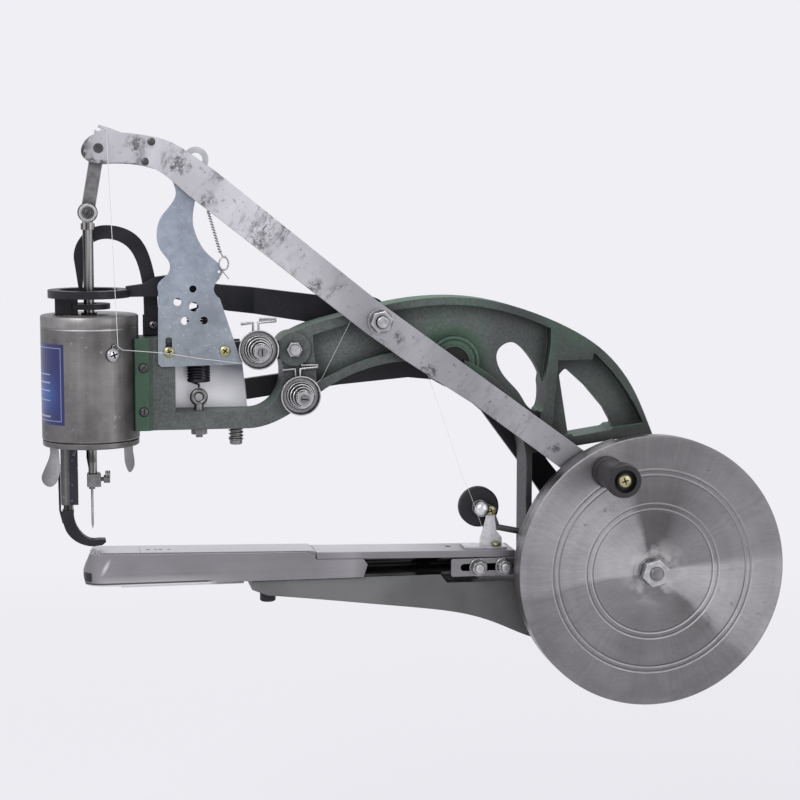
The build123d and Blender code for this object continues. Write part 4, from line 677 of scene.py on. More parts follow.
PLAIN = {   # kind, colour, roughness, and darkness of the painted shade in the hollows or scale of the grain
    "bright_steel": (machined, "bright", 0.26, 0.35),
    "dull_steel": (machined, (0.2, 0.196, 0.196), 0.34, 0.35),
    "spring_steel": (machined, (0.52, 0.515, 0.52), 0.24, 0.45),
    "bright_nuts": (machined, (0.46, 0.455, 0.465), 0.2, 0.6),
    "grey_strip": (machined, (0.17, 0.168, 0.172), 0.36, 0.35),
    "dark_pins": (machined, (0.085, 0.083, 0.085), 0.34, 0.35),
    "white_zinc": (machined, (0.62, 0.62, 0.64), 0.3, 0.2),
    "yellow_zinc": (machined, "gold", 0.3, 0.3),
    "grip_plastic": (moulded, "grip", 0.46, 1400.0),
    "wheel_rubber": (moulded, "rubber", 0.62, 900.0),
    # painted shade: near-black fill for slots, bores, seats and gaps
    "dark_recess": (moulded, (0.01, 0.01, 0.01), 0.6, 900.0),
}


def drawn_bar(name):
    """Polished round bar: dark with bright lines along it."""
    f = Finish(name, (0.035, 0.034, 0.032), 0.22, 1.0)
    streak = f.noise(1.0, 2.0, 0.6, f.stretched((520.0, 520.0, 7.0)))
    dark = f.noise(120.0, 3.0).span(0.56, 0.64)
    f.over(streak.span(0.4, 0.62), (0.42, 0.41, 0.4))
    f.over(dark * 0.6, 0.03)
    f.rough(streak, 0.2, 0.34)
    return f.relief([streak], 0.05, distance=0.0001, bevel=0.0003)


def tension_disc(name):
    """Dished tension discs: painted light and shade in rings, a pale rim, a dark shoulder and a ringed
    middle.
    """
    f = Finish(name, (0.26, 0.255, 0.26), 0.3, 0.9)
    x, _, z = f.axes()
    upper, lower = (f.reach(x, z, JOINTS[which + "_tension_turn"]) for which in ("upper", "lower"))
    reach = f.least(upper, lower) * 1000.0
    # painted light and shade: levels by distance from the post, with a thin painted shadow ring near the
    # edge
    rings = f.graded(reach.span(0.0, 14.0), (
        (0.0, 0.9), (0.28, 0.9), (0.3, 0.16), (0.66, 0.3), (0.72, 0.22), (0.76, 0.95), (0.88, 0.8),
        (0.915, 0.26), (0.94, 0.4), (0.955, 1.5), (1.0, 1.4)))
    cloud = f.noise(150.0, 3.0)
    f.by(rings)
    f.by(cloud.vary(0.75, 1.25))
    f.rough(cloud, 0.24, 0.38)
    return f.relief([f.line_noise(reach, 1.3)], 0.3, distance=0.0003, bevel=0.0003)


def guide_steel(name):
    """Dark guide bar with a paler ground strip down its left side."""
    f = Finish(name, (0.022, 0.021, 0.03), 0.34, 0.5)
    x = f.axes()[0]
    strip = x.band(-0.4198, -0.4206, -0.4262, -0.4252)
    sheen = x.band(-0.4215, -0.4225, -0.424, -0.423)
    cloud = f.noise(90.0, 3.0)
    f.over(strip, (0.085, 0.084, 0.082))
    f.over(sheen * 0.6, (0.2, 0.195, 0.185))
    nick = f.noise(400.0).span(0.66, 0.72)
    f.over(nick * 0.5, (0.25, 0.25, 0.26))
    f.by(cloud.vary(0.8, 1.2))
    return f.relief([f.noise(400.0)], 0.12, bevel=0.0005)


def sewing_thread(name):
    """Twisted white thread."""
    f = Finish(name, (0.62, 0.62, 0.62), 0.75)
    twist = f.noise(2600.0)
    f.over(twist.span(0.35, 0.65), colours().thread)
    return f.relief([twist], 0.3, distance=0.0001)


def label_print(name):
    """Plain blue label with a pale rule set in from its edge and bars in place of any print."""
    f = Finish(name, colours().label, 0.32)
    u, v, _ = f.axes(f.add("ShaderNodeTexCoord").outputs["UV"])
    edge = f.least(f.least(u, 1.0 - u) * 44.0, f.least(v, 1.0 - v) * 58.0)
    rule = edge.band(2.5, 2.7, 3.2, 3.0)
    glow = abs(v - 0.38).span(0.3, 0.0)
    f.over(glow * u.span(0.97, 0.6, 0.0, 0.6), (0.035, 0.13, 0.46))
    bars = ((0.1, 0.012), (0.3, 0.006), (0.42, 0.008), (0.52, 0.01), (0.62, 0.008))
    bars = f.most(*(abs(v - middle).span(half, 0.8 * half) for middle, half in bars))
    bars = bars * u.band(0.7, 0.68, 0.1, 0.12)
    f.over(bars * 0.55, (0.5, 0.58, 0.72))
    f.over(rule * 0.7, (0.36, 0.42, 0.58))
    return f.relief([f.noise(300.0)], 0.05, distance=0.0001)


# --- mesh helpers: lengths in millimetres ------------------------------------------


def link(name, data):
    """New object in the scene."""
    thing = bpy.data.objects.new(name, data)
    bpy.context.scene.collection.objects.link(thing)
    return thing


def aim(axis):
    """Rotation that takes +Z to axis."""
    return Vector(axis).to_track_quat("Z", "Y").to_matrix().to_4x4()


def settled(mesh, centre, axis, spin=0.0):
    """A mesh built about +Z at the origin, moved to its place."""
    mesh.transform(Matrix.Translation(mm(*centre)) @ aim(axis) @ Matrix.Rotation(spin, 4, "Z"))
    return mesh


def baked(bm, name):
    """Mesh of a finished bmesh."""
    mesh = bpy.data.meshes.new(name)
    bm.to_mesh(mesh)
    bm.free()
    return mesh


def applied(piece):
    """Mesh of an object as its modifiers or its bevel leave it."""
    return bpy.data.meshes.new_from_object(piece.evaluated_get(bpy.context.evaluated_depsgraph_get()))


def round_turn(count):
    """Angles spread evenly over a turn."""
    return [2 * math.pi * k / count for k in range(count)]


def lathe(profile, sides=40):
    """Mesh turned about +Z from (radius, height) pairs; a profile that starts off the axis closes
    into a ring."""
    bm = bmesh.new()
    rings = []
    for radius, height in profile:
        angles = round_turn(sides if radius > 0.0 else 1)
        rings.append([bm.verts.new(mm(radius * math.cos(a), radius * math.sin(a), height)) for a in angles])
    if profile[0][0] > 0.0:
        rings.append(rings[0])
    for lower, upper in zip(rings, rings[1:]):
        for k in range(sides):
            n = (k + 1) % sides
            corners = (lower[k % len(lower)], lower[n % len(lower)],
                       upper[n % len(upper)], upper[k % len(upper)])
            corners = list(dict.fromkeys(corners))
            if len(corners) > 2:
                bm.faces.new(corners)
    bmesh.ops.recalc_face_normals(bm, faces=bm.faces)
    return baked(bm, "turned")


def block(size, centre=(0, 0, 0)):
    """Box mesh."""
    bm = bmesh.new()
    bmesh.ops.create_cube(bm, size=1.0, matrix=Matrix.LocRotScale(mm(*centre), None, mm(*size)))
    return baked(bm, "block")


def carved(mesh, *cutters):
    """Mesh with the cutter meshes taken out of it."""
    piece = link("carving", mesh)
    for cutter in cutters:
        tool = link("cutter", cutter)
        cut = piece.modifiers.new("cut", "BOOLEAN")
        cut.operation = "DIFFERENCE"
        cut.solver = "EXACT"
        cut.object = tool
        result = applied(piece)
        piece.modifiers.clear()
        piece.data = result
        bpy.data.objects.remove(tool)
    result = piece.data
    bpy.data.objects.remove(piece)
    return result


def join(*meshes):
    """One mesh of several."""
    bm = bmesh.new()
    for mesh in meshes:
        bm.from_mesh(mesh)
    return baked(bm, "joined")


def fix(name, mesh, finish, body="frame", angle=35.0):
    """Names a finished mesh, gives it its material and lets it ride on a body, if one is given."""
    mesh.shade_smooth()
    mesh.set_sharp_from_angle(angle=math.radians(angle))
    mesh.materials.clear()
    mesh.materials.append(made(finish))
    piece = link(name, mesh)
    if body:
        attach(piece, body)
    return piece


def turn(name, profile, centre, finish, body="frame", slot="bright_steel", axis=TOWARD, sides=40):
    """A turned piece in its place."""
    return fix(name, settled(lathe(profile, sides), centre, axis), finish, body)


def wire(name, points, thickness, finish="bright_steel", body="frame",
         curved=False, ring=False):
    """Round wire through points."""
    curve = bpy.data.curves.new(name, "CURVE")
    curve.dimensions = "3D"
    curve.bevel_depth = thickness * MM / 2
    curve.bevel_resolution = 3
    curve.use_fill_caps = True
    line = curve.splines.new("NURBS" if curved else "POLY")
    line.points.add(len(points) - 1)
    for point, given in zip(line.points, points):
        point.co = (*mm(*given), 1.0)
    if curved:
        line.order_u = 3
        line.use_endpoint_u = True
        line.resolution_u = 6
    line.use_cyclic_u = ring
    path = link(name, curve)
    mesh = applied(path)
    bpy.data.objects.remove(path)
    return fix(name, mesh, finish, body, 60.0)


def coil(centre, axis, start, end, radius0, radius1, turns, per_turn=24):
    """Points of a spring along axis, from distance start to end."""
    base = aim(axis)
    level = 0.6     # turn that lies flat at each end
    total = int(turns * per_turn)
    points = []
    for k in range(total + 1):
        t = k / total
        angle = 2 * math.pi * turns * t
        rise = min(max((t * turns - level) / (turns - 2 * level), 0.0), 1.0)
        radius = radius0 + (radius1 - radius0) * t
        along = start + (end - start) * rise
        local = base @ Vector((radius * math.cos(angle), radius * math.sin(angle), along))
        points.append(Vector(centre) + local)
    return points


def screw(name, centre, radius, height, finish, body="frame", axis=TOWARD, slotted=False, spin=0.3):
    """Rounded screw head with a dark floor of painted shade in its cross or slot."""
    head = lathe([(0.0, -0.3), (radius * 0.97, -0.3), (radius, 0.0), (radius, height * 0.35),
                  (radius * 0.93, height * 0.66), (radius * 0.74, height * 0.88),
                  (radius * 0.42, height * 0.98), (0.0, height)])
    # length and width of each cut and of the dark floor of painted shade in it, over the head's radius
    if slotted:
        cuts, shade_floors = [(2.4, 0.26)], [(1.5, 0.24)]
    else:
        cuts, shade_floors = [(1.16, 0.25), (0.25, 1.16)], [(1.14, 0.24), (0.24, 1.14)]
    cuts = [block((radius * a, radius * b, height * 0.9), (0, 0, height)) for a, b in cuts]
    shade_floors = [block((radius * a, radius * b, 0.1), (0, 0, height * 0.78)) for a, b in shade_floors]
    fix(name + "_drive", settled(join(*shade_floors), centre, axis, spin), "dark_recess", body)
    return fix(name, settled(carved(head, *cuts), centre, axis, spin), finish, body, angle=30.0)


def hex_nut(corner, thickness, stud, proud):
    """Chamfered nut about +Z with its washer below and its stud's end above."""
    top = thickness + proud
    washer = lathe([(0.0, -1.1), (corner * 1.1, -1.1), (corner * 1.14, -0.9), (corner * 1.14, -0.2),
                    (corner * 1.1, 0.0), (0.0, 0.0)])
    nut = lathe([(0.0, 0.0), (corner, 0.0), (corner, thickness * 0.82), (corner * 0.9, thickness),
                 (0.0, thickness)], 6)
    end = lathe([(0.0, thickness), (stud, thickness), (stud, thickness + proud * 0.75),
                 (stud * 0.82, top), (0.0, top)])
    ridges = [(stud + (0.22 if k % 2 else -0.05), thickness + 0.2 + 0.3 * k)
              for k in range(int(proud / 0.45))]
    threads = lathe([(0.0, thickness), *ridges, (0.0, thickness + proud * 0.7)], 28)
    return join(washer, nut, end, threads)


def dress(finish, *nodes):
    """Gives CAD nodes a finish."""
    for node in nodes:
        for part in NODES[node].material_slots:
            part.material = made(finish)


# --- operators -----------------------------------------------------------------------


class PATCHER_OT_stage(bpy.types.Operator):
    """Sets up the camera, the lamps, the room and the floor"""

    bl_idname = "patcher.stage"
    bl_label = "Stage"

    def execute(self, context):
        scene, stage = context.scene, context.scene.patcher_stage
        scene.view_settings.view_transform = "Standard"
        data = bpy.data.cameras.new("camera")
        data.sensor_width = 36.0
        data.lens = stage.lens
        data.shift_y = 0.00625
        data.clip_start = 0.05
        data.clip_end = 40.0
        tilt, swing = 6.65, 10.1        # degrees, down and to the right
        scene.camera = link("camera", data)
        scene.camera.location = mm(-447.8, -1505.5, 369.1)
        scene.camera.rotation_euler = (math.radians(90.0 - tilt), 0.0, math.radians(-swing))
        middle = mm(-200.0, 0.0, 170.0)
        for name, size, place in (("key", 0.9, (-1.25, -1.35, 1.35)), ("fill", 1.1, (1.0, -1.6, 0.55)),
                                  ("top", 1.2, (-0.1, 0.35, 1.7))):
            data = bpy.data.lights.new(name, "AREA")
            data.energy = getattr(stage, name)
            data.size = size
            lamp = link(name, data)
            lamp.location = place
            lamp.rotation_euler = (middle - Vector(place)).to_track_quat("-Z", "Y").to_euler()
        self.room(scene, stage)
        self.floor(stage)
        return {"FINISHED"}

    def room(self, scene, stage):
        """The backdrop for the camera and in reflections, an even light for all else."""
        scene.world = scene.world or bpy.data.worlds.new("room")
        scene.world.use_nodes = True
        world = Tree(scene.world.node_tree)
        world.tree.nodes.clear()
        light, seen = world.add("ShaderNodeBackground"), world.add("ShaderNodeBackground")
        world.feed(light, Color=(0.96, 0.97, 1.0), Strength=stage.room)
        world.feed(seen, Color=stage.backdrop)
        rays = world.add("ShaderNodeLightPath").outputs
        direct = world.most(*(rays[f"Is {kind} Ray"] for kind in ("Camera", "Glossy", "Transmission")))
        world.blended(direct, light, seen, world.add("ShaderNodeOutputWorld").inputs[0])

    def floor(self, stage):
        """A wide floor, lit near the machine and passing into the backdrop."""
        level = -stage.floor / MM
        mesh = lathe([(radius, level) for radius in (0.0, 400.0, 900.0, 2500.0, 9000.0)], 64)
        f = Finish("floor", stage.backdrop, 0.9)
        shown = f.add("ShaderNodeEmission")
        f.feed(shown, Color=stage.backdrop)
        x, y, _ = f.axes()
        across = x + 0.2
        reach = f.math("SQRT", across * across + y * y)
        surface = f.tree.nodes["Material Output"].inputs["Surface"]
        f.blended(reach.span(0.35, 1.6, 0.65), f.shader, shown, surface)
        mesh.materials.append(f.material)
        link("floor", mesh)


class PATCHER_OT_casting(bpy.types.Operator):
    """Paints the cast frame"""

    bl_idname = "patcher.casting"
    bl_label = "Cast frame"

    def execute(self, context):
        dress(casting_paint, "frame_casting")
        return {"FINISHED"}


class PATCHER_OT_boss(bpy.types.Operator):
    """Adds the raised lip and a dark disc of painted shade in the bore of the feed pivot's boss"""

    bl_idname = "patcher.boss"
    bl_label = "Pivot boss"

    def execute(self, context):
        pivot = JOINTS["feed_lever_swing"] / MM
        seat = (pivot.x, WEB_FRONT_Y, pivot.z)
        # inner and outer radius, then how far it stands out
        for name, inner, outer, rise in (("boss_lip", 16.2, 19.0, 1.5), ("bore_lip", 10.6, 12.6, 1.0)):
            middle = (inner + outer) / 2
            turn(name, [(inner, -0.3), (outer, -0.3), (outer - 0.2, 0.6 * rise), (middle + 0.4, rise),
                        (middle - 0.4, rise), (inner + 0.2, 0.6 * rise)],
                 seat, casting_paint, slot="casting", sides=72)
        # painted shade: a thin near-black disc in the bore
        turn("boss_bore", [(0.0, 0.0), (10.9, 0.0), (10.9, 0.15), (0.0, 0.15)],
             seat, "dark_recess", slot="black_steel", sides=48)
        return {"FINISHED"}


class PATCHER_OT_head(bpy.types.Operator):
    """Finishes the barrel, the rotor and the needle work"""

    bl_idname = "patcher.head"
    bl_label = "Head"

    def execute(self, context):
        dress(turned_barrel, "head_barrel", "rotor_sleeve", "rotor_ring")
        dress(blackened, "feed_collar", "presser_foot", "presser_strap")
        dress(guide_steel, "presser_guide")
        dress(drawn_bar, "needle_bar", "presser_bar")
        dress("dull_steel", "needle_link", "needle_clamp")
        dress("bright_steel", "needle")
        dress("dark_pins", "link_screw")
        axis = JOINTS["head_turn"].x / MM
        radius, base = axis - low("head_barrel").x, low("head_barrel").z
        wall, outside, foot = radius - 0.2, radius + 0.08, (axis, 0, 0)
        turn("barrel_skin",
             [(wall, base + 0.7), (outside, base + 0.7), (outside, SEAM_Z - 0.7),
              (radius - 0.5, SEAM_Z - 0.15), (radius - 2.0, SEAM_Z - 0.15), (radius - 2.0, 249.0),
              (wall, 249.0)], foot, turned_barrel, slot="barrel_steel", axis=UP, sides=96)
        lid = lathe([(wall, SEAM_Z + 0.15), (radius - 0.1, SEAM_Z + 0.15), (outside, SEAM_Z + 0.5),
                     (outside, LID_Z - 1.3), (radius - 0.4, LID_Z - 0.4), (radius - 1.5, LID_Z),
                     (6.3, LID_Z), (6.3, LID_Z - 3.3), (radius - 1.0, LID_Z - 3.3),
                     (radius - 1.0, 253.5), (wall, 253.5)], 96)
        collar, above = low("feed_collar"), LID_Z + 2
        below = collar.z - 3.6
        pocket = block((17.2, 16.2, above - below), (collar.x + 8.0, 0, (above + below) / 2))
        fix("rotor_lid", carved(settled(lid, foot, UP), pocket), turned_barrel, "head_rotor")
        for name, body, lowest, highest in (("boss_sleeve", "head_rotor", 260.6, 261.5),
                                            ("collar_sleeve", "presser", 264.2, 264.6)):
            turn(name, [(4.25, lowest), (5.7, lowest), (5.7, highest), (4.25, highest)], foot,
                 blackened, body, "black_steel", UP)
        turn("link_eye", [(4.0, 0.0), (6.2, 0.0), (6.35, 0.3), (6.0, 0.8), (4.3, 0.8), (4.0, 0.5)],
             (axis, low("needle_bar").y + 0.1, LINK_EYE_Z), "spring_steel", "needle_bar")
        for k in range(3):
            turn(f"clamp_knurl_{k}",
                 [(1.0, 0.0), (2.5, 0.0), (2.9, 0.3), (2.9, 0.7), (2.5, 1.0), (1.0, 1.0)],
                 (high("needle_clamp").x - 3.3 + 1.25 * k, 0, 145.1), "bright_steel", "needle_clamp",
                 axis=RIGHT, sides=28)
        return {"FINISHED"}


class PATCHER_OT_levers(bpy.types.Operator):
    """Finishes the needle lever and the black levers"""

    bl_idname = "patcher.levers"
    bl_label = "Levers"

    def execute(self, context):
        dress(lever_steel, "needle_lever_bar", "lever_rear_cheek")
        dress("dark_pins", "link_pin")
        dress("dull_steel", "roller_pin", "cam_roller")
        dress("bright_nuts", "lever_pivot_nut", "lever_pivot_stud", "tie_bolt", "feed_pivot_stud")
        dress(blackened, "fork_lever", "feed_lever", "tie_bar")
        return {"FINISHED"}


class PATCHER_OT_wheel(bpy.types.Operator):
    """Finishes the flywheel and its crank grip"""

    bl_idname = "patcher.wheel"
    bl_label = "Flywheel"

    def execute(self, context):
        dress(turned_wheel, "flywheel_disc")
        dress("dull_steel", "flywheel_ring", "main_shaft", "feed_cam")
        dress("bright_nuts", "shaft_nut")
        dress("dark_pins", "grip_bolt")
        dress("grip_plastic", "crank_grip")
        return {"FINISHED"}


class PATCHER_OT_horn(bpy.types.Operator):
    """Finishes the horn, its cover and the shuttle"""

    bl_idname = "patcher.horn"
    bl_label = "Horn"

    def execute(self, context):
        dress(ground_horn, "front_cover", "horn_top_plate", "rear_top_plate", "needle_plate",
              "slotted_plate")
        dress(dark_inside, "horn_body", "shuttle_rod")
        dress("bright_steel", "shuttle", "bobbin", "shuttle_race")
        dress(blackened, "horn_bolt")
        return {"FINISHED"}


class PATCHER_OT_tensions(bpy.types.Operator):
    """Finishes the thread tensions and winds their cone springs"""

    bl_idname = "patcher.tensions"
    bl_label = "Tensions"

    def execute(self, context):
        dress(tension_disc, "upper_tension_post", "lower_tension_post")
        dress("bright_nuts", "upper_tension_nut", "lower_tension_nut")
        for which, spin in (("upper", 0.0), ("lower", 1.45)):
            x, _, z = JOINTS[which + "_tension_turn"] / MM
            nut_back = high(which + "_tension_nut").y
            disc_front = nut_back + CONE_LENGTH
            cone = coil((x, 0, z), TOWARD, -disc_front, -nut_back, 10.2, 4.4, sizes().cone_turns)
            wire(which + "_cone_spring", cone, sizes().cone_wire / MM, "spring_steel")
            turn(which + "_disc_flare",
                 [(13.0, 0.3), (13.7, 1.5), (14.3, 1.8), (14.3, 2.2), (13.5, 2.1), (12.7, 0.5)],
                 (x, disc_front + 0.1, z), "spring_steel", sides=64)
            y = (low(which + "_thread_hook").y + high(which + "_thread_hook").y) / 2
            saddle = low(which + "_thread_hook").z + 0.9
            bends = ((-12.2, z + 18.3), (-3.4, z + 19.0), (-3.3, saddle), (0.5, saddle), (0.3, z + 19.0),
                     (12.6, z + 19.9), (12.6, z + 21.7), (0.9, z + 21.5))
            hook = wire(which + "_hook", [(x + dx, y, level) for dx, level in bends], 2.4)
            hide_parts(which + "_thread_hook")
            # painted shade in the slot at the post's tip
            tip = (x, low(which + "_tension_post").y - 0.05, z)
            slot = settled(block((1.0, 4.9, 0.12)), tip, TOWARD, spin)
            fix(which + "_post_slot", slot, "dark_recess")
        return {"FINISHED"}


class PATCHER_OT_guide_plate(bpy.types.Operator):
    """Finishes the guide plate and hangs the take-up wire on it"""

    bl_idname = "patcher.guide_plate"
    bl_label = "Guide plate"

    def execute(self, context):
        dress(galvanised, "thread_guide_plate")
        dress(guard_sheet, "rear_guard_plate")
        y = low("thread_guide_plate").y - 1.1
        top, bottom = Vector((-320.3, y, 333.5)), Vector((-312.1, y, 304.6))
        lie = (bottom - top).normalized().to_track_quat("Z", "Y")
        rod = coil((0, 0, 0), UP, 0.0, 30.0, 0.9, 0.9, 16, 10)
        wire("take_up_spring", [top + lie @ p for p in rod], 0.9)
        oval = [(-309.6 + 3.3 * math.cos(a), y, 296.4 + 4.6 * math.sin(a)) for a in round_turn(24)]
        wire("take_up_ring", oval, 1.1, ring=True)
        bends = [bottom, (-311.0, y, 302.6), (-309.6, y - 0.4, 300.6), (-308.0, y - 0.6, 302.0)]
        wire("take_up_hook", bends, 1.0, curved=True)
        y -= 0.6
        for k, (x, z) in enumerate(((-313.7, 284.7), (-306.2, 285.4))):
            tail = [(-309.8, y, 292.6), (-310.4, y, 290.6), ((x - 310.0) / 2, y, 288.0), (x, y, z)]
            wire(f"take_up_tail_{k}", tail, 0.8, curved=True)
        return {"FINISHED"}


class PATCHER_OT_springs(bpy.types.Operator):
    """Winds the return spring and the adjuster's spring"""

    bl_idname = "patcher.springs"
    bl_label = "Springs"

    def execute(self, context):
        base, tip = low("return_spring"), high("return_spring")
        x = (base.x + tip.x) / 2
        thick = sizes().return_wire / MM
        radius = (tip.x - base.x - thick) / 2
        stem = 2.4      # straight wire at each end
        points = [(x, 0, base.z), (x, 0, base.z + stem),
                  *coil((x, 0, 0), UP, base.z + 5.2, tip.z - 5.0, radius, radius, 26),
                  (x, 0, tip.z - stem), (x, 0, tip.z)]
        spring = wire("return_coil", points, thick, blackened, None)
        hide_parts("return_spring")
        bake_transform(spring)
        dress("dull_steel", "eye_bolt", "adjusting_screw")
        base, tip = low("adjusting_screw"), high("adjusting_screw")
        points = coil(((base.x + tip.x) / 2, 0, 0), UP, base.z + 4.0, base.z + 12.6, 4.9, 4.9, 4.5)
        wire("adjuster_coil", points, 1.1, "dull_steel")
        return {"FINISHED"}


class PATCHER_OT_winder(bpy.types.Operator):
    """Finishes the bobbin winder and adds its spindle nose"""

    bl_idname = "patcher.winder"
    bl_label = "Bobbin winder"

    def execute(self, context):
        dress("white_zinc", "winder_bracket")
        dress("grey_strip", "winder_arm")
        dress("wheel_rubber", "winder_wheel")
        spindle, pivot = JOINTS["winder_wheel_turn"] / MM, JOINTS["winder_arm_swing"] / MM
        front = low("winder_arm").y
        turn("winder_nose",
             [(0.0, -0.6), (3.7, -0.6), (3.7, 1.9), (5.4, 2.1), (5.7, 2.7), (5.5, 3.6), (4.2, 4.9),
              (2.2, 5.7), (0.0, 5.9)],
             (spindle.x, front + 0.4, spindle.z), "white_zinc", "winder_arm")
        turn("winder_hub", [(4.4, 0.0), (5.6, 0.0), (5.6, 0.5), (4.4, 0.7)],
             (spindle.x, low("winder_wheel").y, spindle.z), "dull_steel", "winder_wheel")
        strap = [pivot.lerp(spindle, k / 9) for k in range(10)]
        wire("winder_link", [(p.x, front + 1.15, p.z) for p in strap], 5.0, "white_zinc", "winder_arm")
        return {"FINISHED"}


class PATCHER_OT_fasteners(bpy.types.Operator):
    """Adds the screws, nuts and rivets"""

    bl_idname = "patcher.fasteners"
    bl_label = "Fasteners"

    def execute(self, context):
        plate = low("thread_guide_plate").y
        for k, (x, z) in enumerate(((-349.0, 234.0), (-309.2, 234.1))):
            screw(f"plate_screw_{k}", (x, plate, z), sizes().plate_screw / MM, 2.6, "yellow_zinc",
                  spin=0.4 + 0.5 * k)
        self.guide()
        for k, z in enumerate((223.0, 191.6)):
            # painted shade round each clamp screw's head
            turn(f"clamp_seat_{k}", [(0.0, -0.4), (3.5, -0.4), (3.5, 0.15), (0.0, 0.15)],
                 (-367.3, PAD_FRONT_Y, z), "dark_recess", slot="black_steel")
            screw(f"clamp_screw_{k}", (-367.0, PAD_FRONT_Y - 0.1, z), 2.9, 1.0, "dark_pins",
                  slotted=True, spin=0.9 + 0.6 * k)
        screw("strap_screw", (-358.6, low("presser_strap").y, 251.3), 3.2, 2.2, "dull_steel")
        for k, place in enumerate(((-359.5, -19.2, 382.0), (-363.8, -13.6, 368.1))):
            turn(f"lever_rivet_{k}", [(0.0, -4.5), (2.7, -4.5), (2.7, 0.25), (2.2, 0.6), (0.0, 0.7)],
                 place, "dark_pins", "needle_lever", "lever_steel")
        for k, x in enumerate((-124.0, -104.5)):
            nut = settled(hex_nut(sizes().nut / MM, 4.6, 3.3, 2.4),
                          (x, low("slotted_plate").y - 1.1, 71.3), TOWARD, 0.3 + 0.35 * k)
            fix(f"slot_nut_{k}", nut, "bright_nuts", angle=28.0)
        pivot, grip = JOINTS["winder_arm_swing"] / MM, JOINTS["crank_grip_turn"] / MM
        screw("winder_pivot_screw", (pivot.x, low("winder_arm").y, pivot.z), 3.6, 2.2, "yellow_zinc",
              "winder_arm")
        screw("winder_base_screw", (-108.5, low("winder_bracket").y + 2.4, 86.2), 3.2, 1.8,
              "yellow_zinc", axis=UP)
        screw("grip_screw", (grip.x, low("grip_bolt").y, grip.z), 4.5, 1.8, "yellow_zinc", "flywheel")
        for k, x in enumerate((-359.6, -355.8, -350.0)):
            level = high("horn_top_plate").z - (x - HORN_TOP_X) * HORN_TOP_FALL
            screw(f"horn_screw_{k}", (x, -2.0, level - 0.5), 1.7, 0.6, "dark_pins",
                  axis=UP, slotted=True, spin=0.5 * k)
        screw("link_end_screw", (-404.0, low("link_screw").y, LINK_EYE_Z), 2.6, 0.7, "dark_pins",
              "needle_bar", slotted=True, spin=0.9)
        # painted shade: a near-black block filling the gap under the horn
        gap = low("slotted_plate")
        gap_shade = block((40.0, 24.0, 5.0), (gap.x + 1.0, 0.5, gap.z - 0.6))
        fix("horn_shim", gap_shade, "dark_recess")
        return {"FINISHED"}

    def guide(self):
        """The screw and the wire loop that lead the thread past the barrel."""
        axis = JOINTS["head_turn"].x / MM
        radius = axis - low("head_barrel").x
        dx = GUIDE_SCREW_X - axis
        out = Vector((dx, -math.sqrt(radius ** 2 - dx ** 2), 0.0))
        seat = Vector((axis, 0, GUIDE_SCREW_Z)) + out
        screw("guide_screw", seat, sizes().guide_screw / MM, 3.4, "bright_nuts", axis=out)
        seat += out.normalized() * 1.2
        arc = [math.radians(-110 + 20 * k) for k in range(17)]
        loop = [seat + Vector((2.2 + 2.5 * math.cos(a), 0, 5.2 + 1.9 * math.sin(a))) for a in arc]
        wire("guide_loop", loop, 1.0, "dull_steel")


class PATCHER_OT_label(bpy.types.Operator):
    """Wraps the plain label round the barrel"""

    bl_idname = "patcher.label"
    bl_label = "Label"

    def execute(self, context):
        centre = JOINTS["head_turn"]
        radius = centre.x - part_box("head_barrel")[0].x + 0.00012    # just proud of the barrel
        foot, height = 0.1843, 0.057
        left, right = math.radians(-105.5), math.radians(-33.5)     # round the barrel from its front
        bm = bmesh.new()
        bm.loops.layers.uv.new()
        bmesh.ops.create_grid(bm, x_segments=36, y_segments=6, size=0.5, calc_uvs=True)
        for vert in bm.verts:
            angle = left + (right - left) * (vert.co.x + 0.5)
            z = foot + height * (vert.co.y + 0.5)
            vert.co = (centre.x + radius * math.sin(angle), -radius * math.cos(angle), z)
        fix("barrel_label", baked(bm, "label"), label_print)
        return {"FINISHED"}


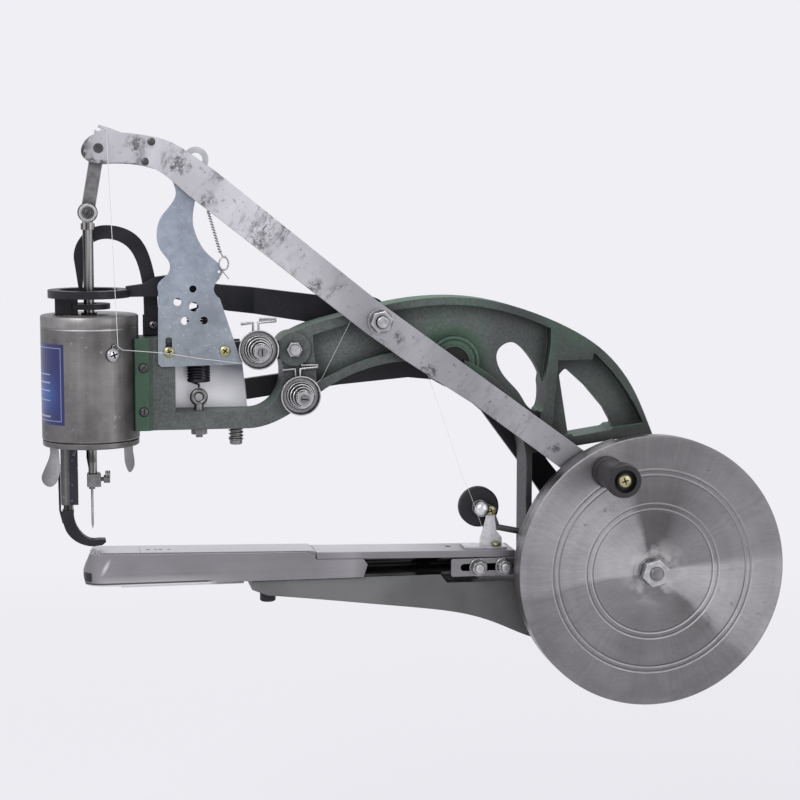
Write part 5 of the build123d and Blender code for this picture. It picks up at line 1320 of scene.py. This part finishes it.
class PATCHER_OT_thread(bpy.types.Operator):
    """Strings the sewing thread"""

    bl_idname = "patcher.thread"
    bl_label = "Thread"

    def execute(self, context):
        thick = sizes().thread / MM
        thin = 0.5 * thick      # where it runs over the casting
        hook, guide = THREAD_HOOK, THREAD_GUIDE
        top = [(-394.2, -9.0, 391.6), (-392.4, -9.0, 392.6), (-390.6, -10.4, 391.0), hook]
        wire("thread_top", top, thick, sewing_thread, "needle_lever")
        run = wire("thread_drop", [hook, guide], thick, sewing_thread, None)
        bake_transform(run)
        run = [guide, (-382.0, -31.0, 237.2), (-352.0, -20.4, 233.6), (-327.3, -18.6, 229.2),
               (-299.3, -18.6, 225.4), (-290.0, -18.6, 226.0)]
        rise = [(-246.0, -18.2, 208.0), (-239.6, -17.0, 213.5), (-217.6, -17.0, 256.4),
                (-210.0, -16.4, 262.0)]
        fall = [(-163.0, -12.6, 218.5), (-151.4, -13.6, 185.7), (-135.5, -12.5, 138.8),
                (-129.6, -11.9, 126.0), (-119.7, -11.6, 99.1), (-117.5, -9.5, 88.6)]
        wire("thread_run", run, thick, sewing_thread)
        wire("thread_rise", rise, thin, sewing_thread)
        wire("thread_fall", fall, thin, sewing_thread)
        return {"FINISHED"}


OPERATORS = (PATCHER_OT_stage, PATCHER_OT_casting, PATCHER_OT_boss, PATCHER_OT_head, PATCHER_OT_levers,
             PATCHER_OT_wheel, PATCHER_OT_horn, PATCHER_OT_tensions, PATCHER_OT_guide_plate,
             PATCHER_OT_springs, PATCHER_OT_winder, PATCHER_OT_fasteners, PATCHER_OT_label,
             PATCHER_OT_thread)
GROUPS = {"patcher_colours": PatcherColours, "patcher_sizes": PatcherSizes, "patcher_stage": PatcherStage}


class PATCHER_PT_panel(bpy.types.Panel):
    """Lists the machine's pieces"""

    bl_idname = "PATCHER_PT_panel"
    bl_label = "Leather patching machine"
    bl_space_type = "VIEW_3D"
    bl_region_type = "UI"
    bl_category = "Patcher"

    def draw(self, context):
        for operator in OPERATORS:
            self.layout.operator(operator.bl_idname)
        for group, kind in GROUPS.items():
            for entry in kind.__annotations__:
                self.layout.prop(getattr(context.scene, group), entry)


def register():
    for group, kind in GROUPS.items():
        bpy.utils.register_class(kind)
        setattr(bpy.types.Scene, group, PointerProperty(type=kind))
    for kind in (*OPERATORS, PATCHER_PT_panel):
        bpy.utils.register_class(kind)


def unregister():
    for kind in (PATCHER_PT_panel, *reversed(OPERATORS)):
        bpy.utils.unregister_class(kind)
    for group, kind in GROUPS.items():
        delattr(bpy.types.Scene, group)
        bpy.utils.unregister_class(kind)


def main():
    register()
    for operator in OPERATORS:
        group, _, name = operator.bl_idname.partition(".")
        getattr(getattr(bpy.ops, group), name)()
    bpy.context.view_layer.update()


if __name__ == "__main__":
    main()
